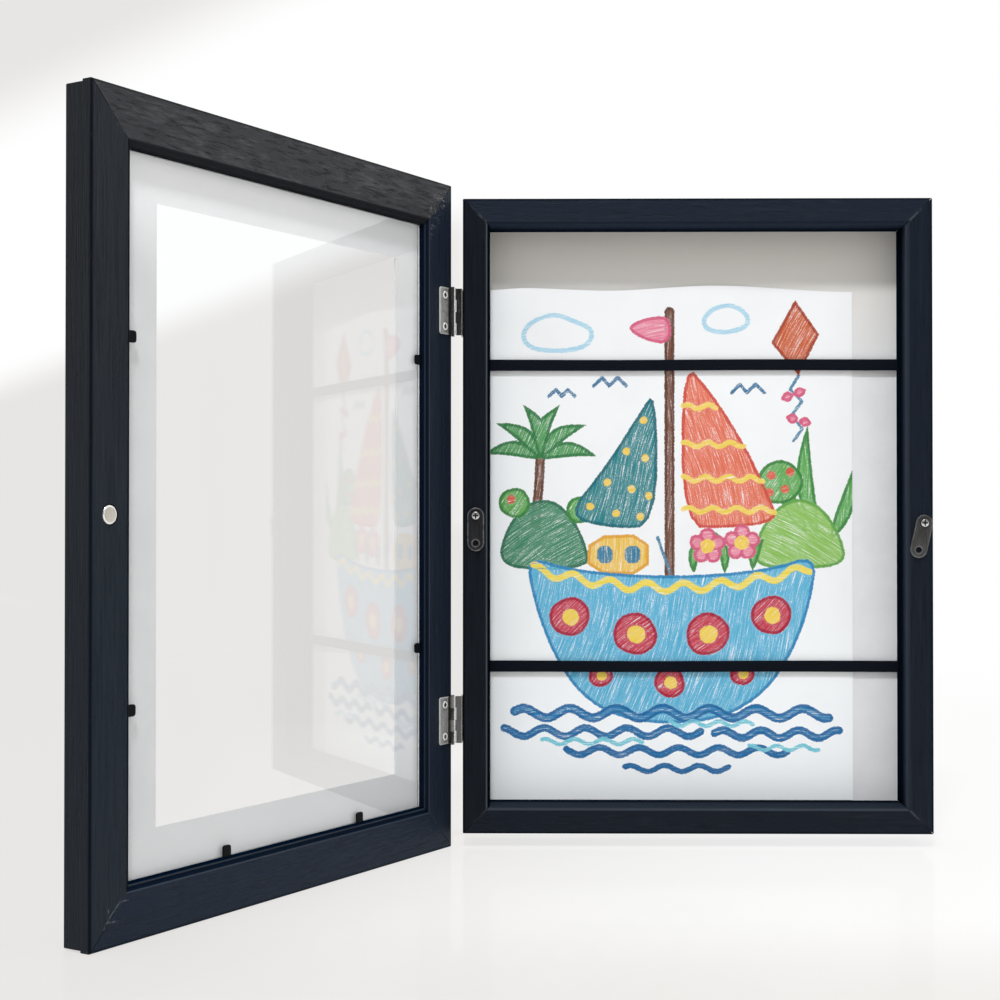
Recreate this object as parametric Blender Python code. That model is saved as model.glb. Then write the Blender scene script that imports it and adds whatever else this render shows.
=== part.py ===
"""Childrens art frame: a wall-hung picture box with a glazed door on two hinges.

Lengths are in metres and +Z is up. The box's back lies in the plane Y = 0 and its front faces -Y.
The origin is at the middle of the top rail's back face, which rests on the wall. The door is drawn
closed in its own axis' frame, and the empty on that axis turns it open.
"""

import math

import bmesh
import bpy
from mathutils import Matrix, Vector

# Clearances and the overrun of the cutters
GAP = 0.0003
OVERRUN = 0.001
WELD = 0.00001

# Drawing sheet, with the room left beside it and above it in the well
SHEET_WIDTH = 0.210
SHEET_HEIGHT = 0.297
SHEET_THICKNESS = 0.0005
SHEET_SIDE_ROOM = 0.026
SHEET_TOP_ROOM = 0.033

# Box frame
BOX_RAIL_WIDTH = 0.015
BOX_INNER_CHAMFER = 0.0018
BOX_EDGE_RADIUS = 0.0006
BOX_WELL_DEPTH = 0.025
BOX_BACK_RECESS = 0.0024
BOX_REBATE_WIDTH = 0.006

# Backing and elastic bands
BACKING_THICKNESS = 0.002
BOARD_THICKNESS = 0.003
BAND_WIDTH = 0.0066
BAND_THICKNESS = 0.001
BAND_HEIGHT_ABOVE_CENTRE = 0.0873
BAND_OFF_SHEET = 0.0011
BAND_SEAT_DEPTH = 0.006

# Flat points that hold the back board and the pane
POINT_THICKNESS = 0.0008
POINT_WIDTH = 0.0054
POINT_REACH = 0.0056
POINT_TIP_RADIUS = 0.0014
POINT_ROOT = 0.003
BACK_POINT_FROM_CORNER = 0.055

# Door frame
DOOR_OVERHANG = 0.0075
DOOR_THICKNESS = 0.0165
DOOR_GAP = 0.0032
DOOR_FLAT_WIDTH = 0.0220
DOOR_STEP_WIDTH = 0.0016
DOOR_STEP_DEPTH = 0.0014
DOOR_BEAD_WIDTH = 0.0020
DOOR_LIP_WIDTH = 0.005
DOOR_EDGE_RADIUS = 0.0008
DOOR_RIM_DEPTH = 0.0054
DOOR_RIM_STEP = 0.0007
DOOR_FRONT_BEVEL = 0.0035
DOOR_OPEN_ANGLE = math.radians(121.0)

# Pane and card mount
PANE_RECESS = 0.0046
PANE_THICKNESS = 0.002
MAT_THICKNESS = 0.0014
MAT_BORDER = 0.0219
MAT_BEVEL = 0.0009

# Places of the pane's points, measured from the door's middle
FREE_SIDE_POINT_HEIGHTS = (0.0790, -0.0865)
HINGE_SIDE_POINT_HEIGHTS = (0.0865, -0.0735)
BOTTOM_POINT_PLACES = (-0.058, 0.0477)

# Hinges
PIN_FROM_BOX_SIDE = 0.0057
HINGE_HEIGHT_ABOVE_CENTRE = 0.1155
LEAF_HEIGHT = 0.0265
LEAF_THICKNESS = 0.0008
LEAF_CORNER_RADIUS = 0.0014
DOOR_LEAF_REACH = 0.0117
BOX_LEAF_REACH = 0.0125
BARREL_RADIUS = 0.0017
BARREL_BORE_RADIUS = 0.00095
LEAF_SET_IN = 0.0001
PIN_RADIUS = 0.00065
PIN_HEAD_RADIUS = 0.0014
PIN_HEAD_THICKNESS = 0.0005
KNUCKLE_COUNT = 4

# Leaf screws
LEAF_SCREW_SPACING = 0.0178
LEAF_SCREW_FROM_PIN = 0.0064
LEAF_SCREW_FROM_BEND = 0.0066
LEAF_SCREW_HEAD_RADIUS = 0.0024
LEAF_SCREW_HEAD_PROUD = 0.0004
LEAF_SCREW_CONE_DEPTH = 0.0014
LEAF_SCREW_SHANK_RADIUS = 0.0011
LEAF_SCREW_LENGTH = 0.008

# Catch plates, their pivot screws and the door's magnet
PLATE_LENGTH = 0.0248
PLATE_WIDTH = 0.0097
PLATE_THICKNESS = 0.001
PLATE_HOLE_SPACING = 0.0156
PLATE_HOLE_RADIUS = 0.0015
PLATE_SINK_RADIUS = 0.0022
PLATE_SINK_DEPTH = 0.0005
LEFT_PLATE_FROM_SIDE = 0.0073
LEFT_PLATE_HEIGHT = -0.0001
RIGHT_PLATE_FROM_SIDE = 0.0051
RIGHT_PLATE_HEIGHT = -0.0042
RIGHT_PLATE_TILT = math.radians(12.2)
PIVOT_HEAD_RADIUS = 0.00245
PIVOT_HEAD_HEIGHT = 0.001
PIVOT_SHANK_RADIUS = 0.0012
PIVOT_SCREW_LENGTH = 0.010
# The pan head's crown, as shares of its radius and height
PIVOT_CROWN_SHARES = ((0.65, 1.0), (0.88, 0.72), (1.0, 0.25))
MAGNET_RADIUS = 0.00425
MAGNET_THICKNESS = 0.003
MAGNET_PROUD = 0.0002
MAGNET_FROM_FREE_EDGE = 0.0115

# Cross recess of a screw head
RECESS_LENGTH = 0.0026
RECESS_WIDTH = 0.0006
RECESS_DEPTH = 0.0007

# Hangers on the back board
HANGER_LENGTH = 0.046
HANGER_HEIGHT = 0.0085
HANGER_THICKNESS = 0.0008
HANGER_TOOTH_COUNT = 9
HANGER_TOOTH_DEPTH = 0.0016
HANGER_TOOTH_RUN = 0.027
HANGER_EAR_RADIUS = 0.0019
HANGER_FROM_BOARD_EDGE = 0.022
NAIL_FROM_END = 0.004
NAIL_HEAD_RADIUS = 0.0021
NAIL_HEAD_THICKNESS = 0.0006
NAIL_SHANK_RADIUS = 0.0008
NAIL_LENGTH = 0.0026

# Numbers of faces round the turned pieces
BARREL_SIDES = 24
SCREW_SIDES = 20
HOLE_SIDES = 20
MAGNET_SIDES = 36
ARC_STEPS = 3
ROUND_END_STEPS = 8
TIP_STEPS = 3

# Sizes that follow from the ones above
WELL_HALF_WIDTH = (SHEET_WIDTH + SHEET_SIDE_ROOM) / 2
WELL_HALF_HEIGHT = (SHEET_HEIGHT + SHEET_TOP_ROOM) / 2
BOX_WIDTH = (WELL_HALF_WIDTH + BOX_RAIL_WIDTH) * 2
BOX_HEIGHT = (WELL_HALF_HEIGHT + BOX_RAIL_WIDTH) * 2
BOX_DEPTH = BOX_WELL_DEPTH + BACKING_THICKNESS + BOARD_THICKNESS + GAP + GAP + BOX_BACK_RECESS
BOX_FRONT_Y = -BOX_DEPTH
BOX_CENTRE_Z = (BOX_RAIL_WIDTH - BOX_REBATE_WIDTH) / 2 - BOX_HEIGHT / 2
BOARD_HALF_WIDTH = WELL_HALF_WIDTH + BOX_REBATE_WIDTH - GAP
BOARD_HALF_HEIGHT = WELL_HALF_HEIGHT + BOX_REBATE_WIDTH - GAP
BACKING_FRONT_Y = BOX_FRONT_Y + BOX_WELL_DEPTH + GAP
BOARD_FRONT_Y = BACKING_FRONT_Y + BACKING_THICKNESS + GAP
BOARD_BACK_Y = BOARD_FRONT_Y + BOARD_THICKNESS
SHEET_BACK_Y = BACKING_FRONT_Y - GAP
BAND_BACK_Y = SHEET_BACK_Y - SHEET_THICKNESS - BAND_OFF_SHEET

DOOR_WIDTH = BOX_WIDTH + DOOR_OVERHANG + DOOR_OVERHANG
DOOR_HEIGHT = BOX_HEIGHT + DOOR_OVERHANG + DOOR_OVERHANG
DOOR_SIGHT_WIDTH = DOOR_FLAT_WIDTH + DOOR_STEP_WIDTH + DOOR_BEAD_WIDTH
DOOR_REBATE_DEPTH = PANE_RECESS + PANE_THICKNESS + GAP + MAT_THICKNESS + GAP
PANE_HALF_WIDTH = DOOR_WIDTH / 2 - DOOR_SIGHT_WIDTH - GAP
PANE_HALF_HEIGHT = DOOR_HEIGHT / 2 - DOOR_SIGHT_WIDTH - GAP

PIN_X = -BOX_WIDTH / 2 - PIN_FROM_BOX_SIDE
DOOR_FACE_FROM_PIN = BARREL_RADIUS - LEAF_SET_IN + GAP
PIN_Y = BOX_FRONT_Y - DOOR_GAP + DOOR_FACE_FROM_PIN
DOOR_CENTRE_FROM_PIN = -PIN_X

PLATE_FRONT = GAP + PLATE_THICKNESS

# Colours, with their roughness and metallic values
FINISHES = {
    "black_wood": ((0.020, 0.024, 0.032), 0.50, 0.0),
    "white_card": ((0.78, 0.77, 0.74), 0.80, 0.0),
    "sheet_paper": ((0.88, 0.89, 0.90), 0.85, 0.0),
    "hardboard": ((0.30, 0.20, 0.12), 0.75, 0.0),
    "elastic": ((0.012, 0.013, 0.016), 0.80, 0.0),
    "mat_card": ((0.70, 0.70, 0.69), 0.80, 0.0),
    "clear_pane": ((0.90, 0.95, 0.95), 0.05, 0.0),
    "bright_steel": ((0.62, 0.62, 0.60), 0.25, 1.0),
    "dark_steel": ((0.075, 0.073, 0.070), 0.42, 1.0),
    "black_point": ((0.012, 0.012, 0.013), 0.45, 0.0),
    "nickel": ((0.75, 0.73, 0.68), 0.28, 1.0),
}


def clear_scene():
    for item in list(bpy.data.objects):
        bpy.data.objects.remove(item, do_unlink=True)


def new_collection(name):
    collection = bpy.data.collections.new(name)
    bpy.context.scene.collection.children.link(collection)
    return collection


def finish(name, kind):
    """One material for one piece, in the finish that its kind has."""
    colour, roughness, metallic = FINISHES[kind]
    material = bpy.data.materials.new(name + "_" + kind)
    material.use_nodes = True
    shader = material.node_tree.nodes["Principled BSDF"]
    shader.inputs["Base Color"].default_value = (*colour, 1.0)
    shader.inputs["Roughness"].default_value = roughness
    shader.inputs["Metallic"].default_value = metallic
    material.diffuse_color = (*colour, 1.0)
    return material


def empty(name, location, turn, parent, collection):
    item = bpy.data.objects.new(name, None)
    item.location = location
    item.rotation_euler = turn
    item.parent = parent
    collection.objects.link(item)
    return item


def add_part(name, mesh, kind, parent):
    """Links a mesh as one named piece of the frame."""
    item = bpy.data.objects.new(name, mesh)
    item.parent = parent
    mesh.materials.append(finish(name, kind))
    PARTS.objects.link(item)
    return item


def add_cutter(name, mesh, parent):
    item = bpy.data.objects.new(name, mesh)
    item.parent = parent
    item.hide_render = True
    item.display_type = "WIRE"
    CUTTERS.objects.link(item)
    return item


def combine(target, cutter, operation):
    """Adds an exact boolean of the cutter to the target."""
    modifier = target.modifiers.new(cutter.name, "BOOLEAN")
    modifier.operation = operation
    modifier.object = cutter
    modifier.solver = "EXACT"


def cut(target, mesh, label, parent):
    combine(target, add_cutter(target.name + "_" + label, mesh, parent), "DIFFERENCE")


def join(target, mesh, label, parent):
    combine(target, add_cutter(target.name + "_" + label, mesh, parent), "UNION")


def mesh_from(name, build):
    """A mesh made by the bmesh operations of the given function."""
    mesh = bpy.data.meshes.new(name)
    work = bmesh.new()
    build(work)
    bmesh.ops.recalc_face_normals(work, faces=work.faces)
    work.to_mesh(mesh)
    work.free()
    return mesh


def block(name, low, high):
    """A box between two corners."""
    low, high = Vector(low), Vector(high)
    size = high - low
    place = Matrix.Translation((low + high) / 2) @ Matrix.Diagonal((*size, 1.0))
    return mesh_from(name, lambda work: bmesh.ops.create_cube(work, size=1.0, matrix=place))


def rod(name, radius, start, end, sides, end_radius=None):
    """A cylinder or cone between two points, which lie along one axis."""
    start, end = Vector(start), Vector(end)
    run = end - start
    turn = Vector((0, 0, 1)).rotation_difference(run).to_matrix().to_4x4()
    place = Matrix.Translation((start + end) / 2) @ turn

    def build(work):
        bmesh.ops.create_cone(
            work,
            cap_ends=True,
            segments=sides,
            radius1=radius,
            radius2=radius if end_radius is None else end_radius,
            depth=run.length,
            matrix=place,
        )

    mesh = mesh_from(name, build)
    smooth(mesh)
    return mesh


def smooth(mesh):
    mesh.shade_smooth()
    mesh.set_sharp_from_angle(angle=math.radians(35))


def outline_mesh(name, outline, thickness):
    """A flat outline in local XY, as thick as given, centred on Z = 0."""
    curve = bpy.data.curves.new(name, "CURVE")
    curve.dimensions = "2D"
    curve.fill_mode = "BOTH"
    curve.extrude = thickness / 2
    spline = curve.splines.new("POLY")
    spline.points.add(len(outline) - 1)
    for point, (x, y) in zip(spline.points, outline):
        point.co = (x, y, 0, 1)
    spline.use_cyclic_u = True
    carrier = bpy.data.objects.new(name + "_outline", curve)
    CUTTERS.objects.link(carrier)
    bpy.context.view_layer.update()
    evaluated = carrier.evaluated_get(bpy.context.evaluated_depsgraph_get())
    mesh = bpy.data.meshes.new_from_object(evaluated)
    bpy.data.objects.remove(carrier, do_unlink=True)
    bpy.data.curves.remove(curve)
    work = bmesh.new()
    work.from_mesh(mesh)
    bmesh.ops.remove_doubles(work, verts=work.verts, dist=WELD)
    bmesh.ops.recalc_face_normals(work, faces=work.faces)
    work.to_mesh(mesh)
    work.free()
    mesh.name = name
    return mesh


def turned_mesh(name, profile, sides):
    """A solid turned about local Z from a profile of (radius, height), from top to bottom."""
    points = [Vector((radius, 0, height)) for radius, height in profile]

    def build(work):
        verts = [work.verts.new(point) for point in points]
        edges = [work.edges.new(pair) for pair in zip(verts, verts[1:])]
        bmesh.ops.spin(
            work,
            geom=verts + edges,
            cent=(0, 0, 0),
            axis=(0, 0, 1),
            angle=math.tau,
            steps=sides,
            use_merge=True,
        )
        bmesh.ops.remove_doubles(work, verts=work.verts, dist=WELD)

    mesh = mesh_from(name, build)
    smooth(mesh)
    return mesh


def arc(centre, radius, start, end, steps):
    """Points along an arc, its angles in degrees."""
    points = []
    for step in range(steps + 1):
        angle = math.radians(start + (end - start) * step / steps)
        points.append((centre[0] + radius * math.cos(angle), centre[1] + radius * math.sin(angle)))
    return points


def place(mesh, across, along, origin):
    """Moves a flat mesh so that its local X and Y run along the given directions."""
    across, along = Vector(across), Vector(along)
    turn = Matrix((across, along, across.cross(along))).transposed().to_4x4()
    mesh.transform(Matrix.Translation(Vector(origin)) @ turn)
    return mesh


# Directions from a side of a frame towards its middle, seen from the front
INWARD = {
    "top": Vector((0, 0, -1)),
    "bottom": Vector((0, 0, 1)),
    "left": Vector((1, 0, 0)),
    "right": Vector((-1, 0, 0)),
}


def mitred_rail(name, profile, side, width, height, face_y, depth_direction, parent):
    """A rail of a rectangular frame with mitred ends.

    The profile gives (distance in from the outer edge, distance behind the face).
    """
    inward = INWARD[side]
    upright = side in ("left", "right")
    length = height if upright else width
    half_across = width / 2 if upright else height / 2
    mesh = outline_mesh(name, profile, length)
    for vertex in mesh.vertices:
        mitre = length / 2 - vertex.co.x - GAP * math.sqrt(0.5)
        vertex.co.z = math.copysign(mitre, vertex.co.z)
    origin = Vector((0, face_y, 0)) - inward * half_across
    place(mesh, inward, depth_direction, origin)
    return add_part(name, mesh, "black_wood", parent)


def box_profile():
    radius = BOX_EDGE_RADIUS
    points = arc((radius, radius), radius, 270, 180, ARC_STEPS)
    points += arc((radius, BOX_DEPTH - radius), radius, 180, 90, ARC_STEPS)
    points += [
        (BOX_RAIL_WIDTH - BOX_REBATE_WIDTH, BOX_DEPTH),
        (BOX_RAIL_WIDTH - BOX_REBATE_WIDTH, BOX_WELL_DEPTH),
        (BOX_RAIL_WIDTH, BOX_WELL_DEPTH),
        (BOX_RAIL_WIDTH, BOX_INNER_CHAMFER),
        (BOX_RAIL_WIDTH - BOX_INNER_CHAMFER, 0),
    ]
    return points


def door_profile():
    """The door's section, from its inner face at depth 0 to its outer face.

    A rim next to the inner face stands a little proud of the rest of the outer edge.
    """
    radius = DOOR_EDGE_RADIUS
    step = DOOR_FLAT_WIDTH + DOOR_STEP_WIDTH
    lip = DOOR_SIGHT_WIDTH + DOOR_LIP_WIDTH
    points = arc((radius, radius), radius, 270, 180, ARC_STEPS)
    points += [(0, DOOR_RIM_DEPTH), (DOOR_RIM_STEP, DOOR_RIM_DEPTH + DOOR_RIM_STEP)]
    outer = (DOOR_RIM_STEP + radius, DOOR_THICKNESS - radius)
    points += arc(outer, radius, 180, 90, ARC_STEPS)
    points += [
        (lip - DOOR_FRONT_BEVEL, DOOR_THICKNESS),
        (lip, DOOR_THICKNESS - DOOR_FRONT_BEVEL),
        (lip, DOOR_REBATE_DEPTH),
        (DOOR_SIGHT_WIDTH, DOOR_REBATE_DEPTH),
        (DOOR_SIGHT_WIDTH, DOOR_STEP_DEPTH + DOOR_BEAD_WIDTH / 2),
        (DOOR_SIGHT_WIDTH - DOOR_BEAD_WIDTH / 2, DOOR_STEP_DEPTH),
        (step, DOOR_STEP_DEPTH),
        (DOOR_FLAT_WIDTH, 0),
    ]
    return points


def point_mesh(name):
    """A flat point with round corners. Its root runs to -X, and it reaches over the board to +X."""
    half = POINT_WIDTH / 2
    corner = half - POINT_TIP_RADIUS
    outline = [(-POINT_ROOT, half), (-POINT_ROOT, -half)]
    outline += arc((POINT_REACH - POINT_TIP_RADIUS, -corner), POINT_TIP_RADIUS, -90, 0, TIP_STEPS)
    outline += arc((POINT_REACH - POINT_TIP_RADIUS, corner), POINT_TIP_RADIUS, 0, 90, TIP_STEPS)
    return outline_mesh(name, outline, POINT_THICKNESS)


def add_point(name, rail, side, wall, along, near_y, parent):
    """Seats a flat point in a slot of the rail's rebate wall."""
    inward = INWARD[side]
    sideways = Vector((0, 1, 0)).cross(inward)
    origin = wall + sideways * along
    mid_y = near_y + POINT_THICKNESS / 2
    mesh = place(point_mesh(name), inward, sideways, (origin.x, mid_y, origin.z))
    add_part(name, mesh, "black_point", parent)
    reach = inward * OVERRUN + sideways * (POINT_WIDTH / 2 + GAP)
    root = -inward * (POINT_ROOT + GAP) - sideways * (POINT_WIDTH / 2 + GAP)
    corners = [origin + reach, origin + root]
    low = [min(c.x for c in corners), near_y - GAP, min(c.z for c in corners)]
    high = [max(c.x for c in corners), near_y + POINT_THICKNESS + GAP, max(c.z for c in corners)]
    cut(rail, block("slot", low, high), name + "_slot", parent)


def cross_recess(item, centre, axis, parent):
    """Cuts a cross recess into a screw head whose crown is at the centre."""
    sides = [Vector((1, 0, 0)), Vector((0, 1, 0)), Vector((0, 0, 1))]
    sides = [side for side in sides if abs(side.dot(axis)) < 0.5]
    top = Vector(centre) + axis * OVERRUN
    bottom = Vector(centre) - axis * RECESS_DEPTH
    for number, side in enumerate(sides):
        other = sides[1 - number]
        reach = side * RECESS_LENGTH / 2 + other * RECESS_WIDTH / 2
        corners = [top + reach, bottom - reach]
        low = [min(c[i] for c in corners) for i in range(3)]
        high = [max(c[i] for c in corners) for i in range(3)]
        cut(item, block("recess", low, high), "recess_" + str(number + 1), parent)


def turn_to(axis):
    return Vector((0, 0, 1)).rotation_difference(axis).to_matrix().to_4x4()


def leaf_screw(name, rail, leaf, seat, axis, parent):
    """A countersunk screw through a hinge leaf. The seat is on the leaf's open face."""
    seat = Vector(seat)
    cone_end = LEAF_SCREW_HEAD_PROUD - LEAF_SCREW_CONE_DEPTH
    profile = [
        (0, LEAF_SCREW_HEAD_PROUD),
        (LEAF_SCREW_HEAD_RADIUS - LEAF_SCREW_HEAD_PROUD, LEAF_SCREW_HEAD_PROUD),
        (LEAF_SCREW_HEAD_RADIUS, 0),
        (LEAF_SCREW_SHANK_RADIUS, cone_end),
        (LEAF_SCREW_SHANK_RADIUS, LEAF_SCREW_SHANK_RADIUS - LEAF_SCREW_LENGTH),
        (0, -LEAF_SCREW_LENGTH),
    ]
    mesh = turned_mesh(name, profile, SCREW_SIDES)
    mesh.transform(Matrix.Translation(seat) @ turn_to(axis))
    item = add_part(name, mesh, "bright_steel", parent)
    cross_recess(item, seat + axis * LEAF_SCREW_HEAD_PROUD, axis, parent)
    clear = GAP * math.sqrt(2)
    sink = rod(
        "sink",
        LEAF_SCREW_HEAD_RADIUS + clear + OVERRUN,
        seat + axis * OVERRUN,
        seat + axis * cone_end,
        HOLE_SIDES,
        LEAF_SCREW_SHANK_RADIUS + clear,
    )
    bore_radius = LEAF_SCREW_SHANK_RADIUS + GAP
    bore_end = seat - axis * (LEAF_SCREW_LENGTH + GAP)
    bore = rod("bore", bore_radius, seat + axis * OVERRUN, bore_end, HOLE_SIDES)
    cut(leaf, sink, name + "_sink", parent)
    cut(leaf, bore.copy(), name + "_bore", parent)
    cut(rail, sink.copy(), name + "_sink", parent)
    cut(rail, bore, name + "_pilot", parent)


def knuckle_cuts(leaf, centre, first, parent):
    """Clears every second knuckle of a full barrel, counted from the lower end, for the other leaf."""
    reach = BARREL_RADIUS + GAP
    pitch = LEAF_HEIGHT / KNUCKLE_COUNT
    for number in range(first, KNUCKLE_COUNT, 2):
        low = centre + Vector((-reach, -reach, number * pitch - LEAF_HEIGHT / 2 - GAP / 2))
        high = low + Vector((reach + reach, reach + reach, pitch + GAP))
        cut(leaf, block("clear", low, high), "knuckle_" + str(number + 1), parent)


def hinge(label, height, stile, door_stile, root, axis_empty):
    """One hinge: a box leaf bent round the box's side, a door leaf, a pin and four screws."""
    half = LEAF_HEIGHT / 2
    corner = LEAF_CORNER_RADIUS

    # Box leaf: barrel, and a strip bent from the gap's web round to the box's side
    side_x = -BOX_WIDTH / 2 - GAP
    web_high = PIN_Y + BARREL_RADIUS - LEAF_SET_IN
    web_low = web_high - LEAF_THICKNESS
    tail = web_low + BOX_LEAF_REACH
    name = label + "_box_leaf"
    ends = ((PIN_X, PIN_Y, height - half), (PIN_X, PIN_Y, height + half))
    box_leaf = add_part(name, rod(name, BARREL_RADIUS, *ends, BARREL_SIDES), "bright_steel", root)
    bend = arc((side_x - LEAF_THICKNESS, web_low + LEAF_THICKNESS), LEAF_THICKNESS, -90, 0, ARC_STEPS)
    outline = [(PIN_X, web_high), (PIN_X, web_low), *bend]
    outline += [(side_x, tail), (side_x - LEAF_THICKNESS, tail), (side_x - LEAF_THICKNESS, web_high)]
    strip = outline_mesh("strip", outline, LEAF_HEIGHT)
    strip.transform(Matrix.Translation((0, 0, height)))
    join(box_leaf, strip, "strip", root)
    outline = [(PIN_Y - BARREL_RADIUS - OVERRUN, half), (PIN_Y - BARREL_RADIUS - OVERRUN, -half)]
    outline += arc((tail - corner, corner - half), corner, -90, 0, ARC_STEPS)
    outline += arc((tail - corner, half - corner), corner, 0, 90, ARC_STEPS)
    trim = outline_mesh("trim", outline, 2 * (PIN_FROM_BOX_SIDE + BARREL_RADIUS))
    place(trim, (0, 1, 0), (0, 0, 1), (PIN_X, 0, height))
    trim_cutter = add_cutter(name + "_trim", trim, root)
    combine(box_leaf, trim_cutter, "INTERSECT")
    bore_ends = [(PIN_X, PIN_Y, height + sign * (half + OVERRUN)) for sign in (-1, 1)]
    cut(box_leaf, rod("bore", BARREL_BORE_RADIUS, *bore_ends, BARREL_SIDES), "bore", root)
    knuckle_cuts(box_leaf, Vector((PIN_X, PIN_Y, height)), 0, root)
    for place_name, sign in (("upper", 1), ("lower", -1)):
        seat = (
            side_x - LEAF_THICKNESS,
            web_low + LEAF_SCREW_FROM_BEND,
            height + sign * LEAF_SCREW_SPACING / 2,
        )
        screw_name = label + "_box_leaf_screw_" + place_name
        leaf_screw(screw_name, stile, box_leaf, seat, Vector((-1, 0, 0)), root)

    # Door leaf, drawn with the door closed, in the frame of the door's axis
    name = label + "_door_leaf"
    leaf_face = LEAF_SET_IN - BARREL_RADIUS
    ends = ((0, 0, height - half), (0, 0, height + half))
    door_leaf = add_part(name, rod(name, BARREL_RADIUS, *ends, BARREL_SIDES), "bright_steel", axis_empty)
    outline = [(0, half), (0, -half)]
    outline += arc((DOOR_LEAF_REACH - corner, corner - half), corner, -90, 0, ARC_STEPS)
    outline += arc((DOOR_LEAF_REACH - corner, half - corner), corner, 0, 90, ARC_STEPS)
    plate = outline_mesh("plate", outline, LEAF_THICKNESS)
    place(plate, (1, 0, 0), (0, 0, 1), (0, leaf_face + LEAF_THICKNESS / 2, height))
    join(door_leaf, plate, "plate", axis_empty)
    bore_ends = [(0, 0, height + sign * (half + OVERRUN)) for sign in (-1, 1)]
    cut(door_leaf, rod("bore", BARREL_BORE_RADIUS, *bore_ends, BARREL_SIDES), "bore", axis_empty)
    knuckle_cuts(door_leaf, Vector((0, 0, height)), 1, axis_empty)
    for place_name, sign in (("upper", 1), ("lower", -1)):
        seat = (
            LEAF_SCREW_FROM_PIN,
            leaf_face + LEAF_THICKNESS,
            height + sign * LEAF_SCREW_SPACING / 2,
        )
        screw_name = label + "_door_leaf_screw_" + place_name
        leaf_screw(screw_name, door_stile, door_leaf, seat, Vector((0, 1, 0)), axis_empty)

    # Pin with a peened head at each end
    head = half + GAP
    profile = [
        (0, head + PIN_HEAD_THICKNESS),
        (PIN_HEAD_RADIUS - PIN_HEAD_THICKNESS, head + PIN_HEAD_THICKNESS),
        (PIN_HEAD_RADIUS, head),
        (PIN_RADIUS, head),
        (PIN_RADIUS, -head),
        (PIN_HEAD_RADIUS, -head),
        (PIN_HEAD_RADIUS - PIN_HEAD_THICKNESS, -head - PIN_HEAD_THICKNESS),
        (0, -head - PIN_HEAD_THICKNESS),
    ]
    name = label + "_hinge_pin"
    mesh = turned_mesh(name, profile, SCREW_SIDES)
    mesh.transform(Matrix.Translation((PIN_X, PIN_Y, height)))
    add_part(name, mesh, "bright_steel", root)


def plate_outline():
    """An oblong with rounded ends, its pivot hole at the origin and its length down -Y."""
    radius = PLATE_WIDTH / 2
    top = (PLATE_LENGTH - PLATE_HOLE_SPACING) / 2 - radius
    bottom = top + radius + radius - PLATE_LENGTH
    points = arc((0, top), radius, 0, 180, ROUND_END_STEPS)
    points += arc((0, bottom), radius, 180, 360, ROUND_END_STEPS)
    return points


def catch_plate(label, x, z, tilt, stile, root):
    """A steel plate on one pan-head screw. It swivels about the screw."""
    pivot = empty(label + "_plate_pivot", (x, BOX_FRONT_Y, z), (0, tilt, 0), root, PARTS)
    name = label + "_catch_plate"
    mid_y = -GAP - PLATE_THICKNESS / 2
    mesh = outline_mesh(name, plate_outline(), PLATE_THICKNESS)
    place(mesh, (1, 0, 0), (0, 0, 1), (0, mid_y, 0))
    plate = add_part(name, mesh, "dark_steel", pivot)
    for number, drop in enumerate((0, PLATE_HOLE_SPACING)):
        ends = ((0, -PLATE_FRONT - OVERRUN, -drop), (0, OVERRUN, -drop))
        hole = rod("hole", PLATE_HOLE_RADIUS, *ends, HOLE_SIDES)
        cut(plate, hole, "hole_" + str(number + 1), pivot)
    sink_ends = (
        (0, -PLATE_FRONT - PLATE_SINK_DEPTH, -PLATE_HOLE_SPACING),
        (0, -PLATE_FRONT + PLATE_SINK_DEPTH, -PLATE_HOLE_SPACING),
    )
    flare = PLATE_SINK_RADIUS - PLATE_HOLE_RADIUS
    sink = rod("sink", PLATE_SINK_RADIUS + flare, *sink_ends, HOLE_SIDES, PLATE_HOLE_RADIUS)
    cut(plate, sink, "sink", pivot)

    # Pivot screw, fixed in the stile, with a rounded pan head
    seat = PLATE_FRONT + GAP
    crown = seat + PIVOT_HEAD_HEIGHT
    tip = PIVOT_SCREW_LENGTH
    profile = [(0, crown)]
    for across, up in PIVOT_CROWN_SHARES:
        profile.append((PIVOT_HEAD_RADIUS * across, seat + PIVOT_HEAD_HEIGHT * up))
    profile += [
        (PIVOT_HEAD_RADIUS, seat),
        (PIVOT_SHANK_RADIUS, seat),
        (PIVOT_SHANK_RADIUS, PIVOT_SHANK_RADIUS - tip),
        (0, -tip),
    ]
    name = label + "_pivot_screw"
    mesh = turned_mesh(name, profile, SCREW_SIDES)
    mesh.transform(Matrix.Translation((x, BOX_FRONT_Y, z)) @ turn_to(Vector((0, -1, 0))))
    screw = add_part(name, mesh, "bright_steel", root)
    cross_recess(screw, (x, BOX_FRONT_Y - crown, z), Vector((0, -1, 0)), root)
    pilot_ends = ((x, BOX_FRONT_Y - OVERRUN, z), (x, BOX_FRONT_Y + tip + GAP, z))
    cut(stile, rod("pilot", PIVOT_SHANK_RADIUS + GAP, *pilot_ends, HOLE_SIDES), name + "_pilot", root)


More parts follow.
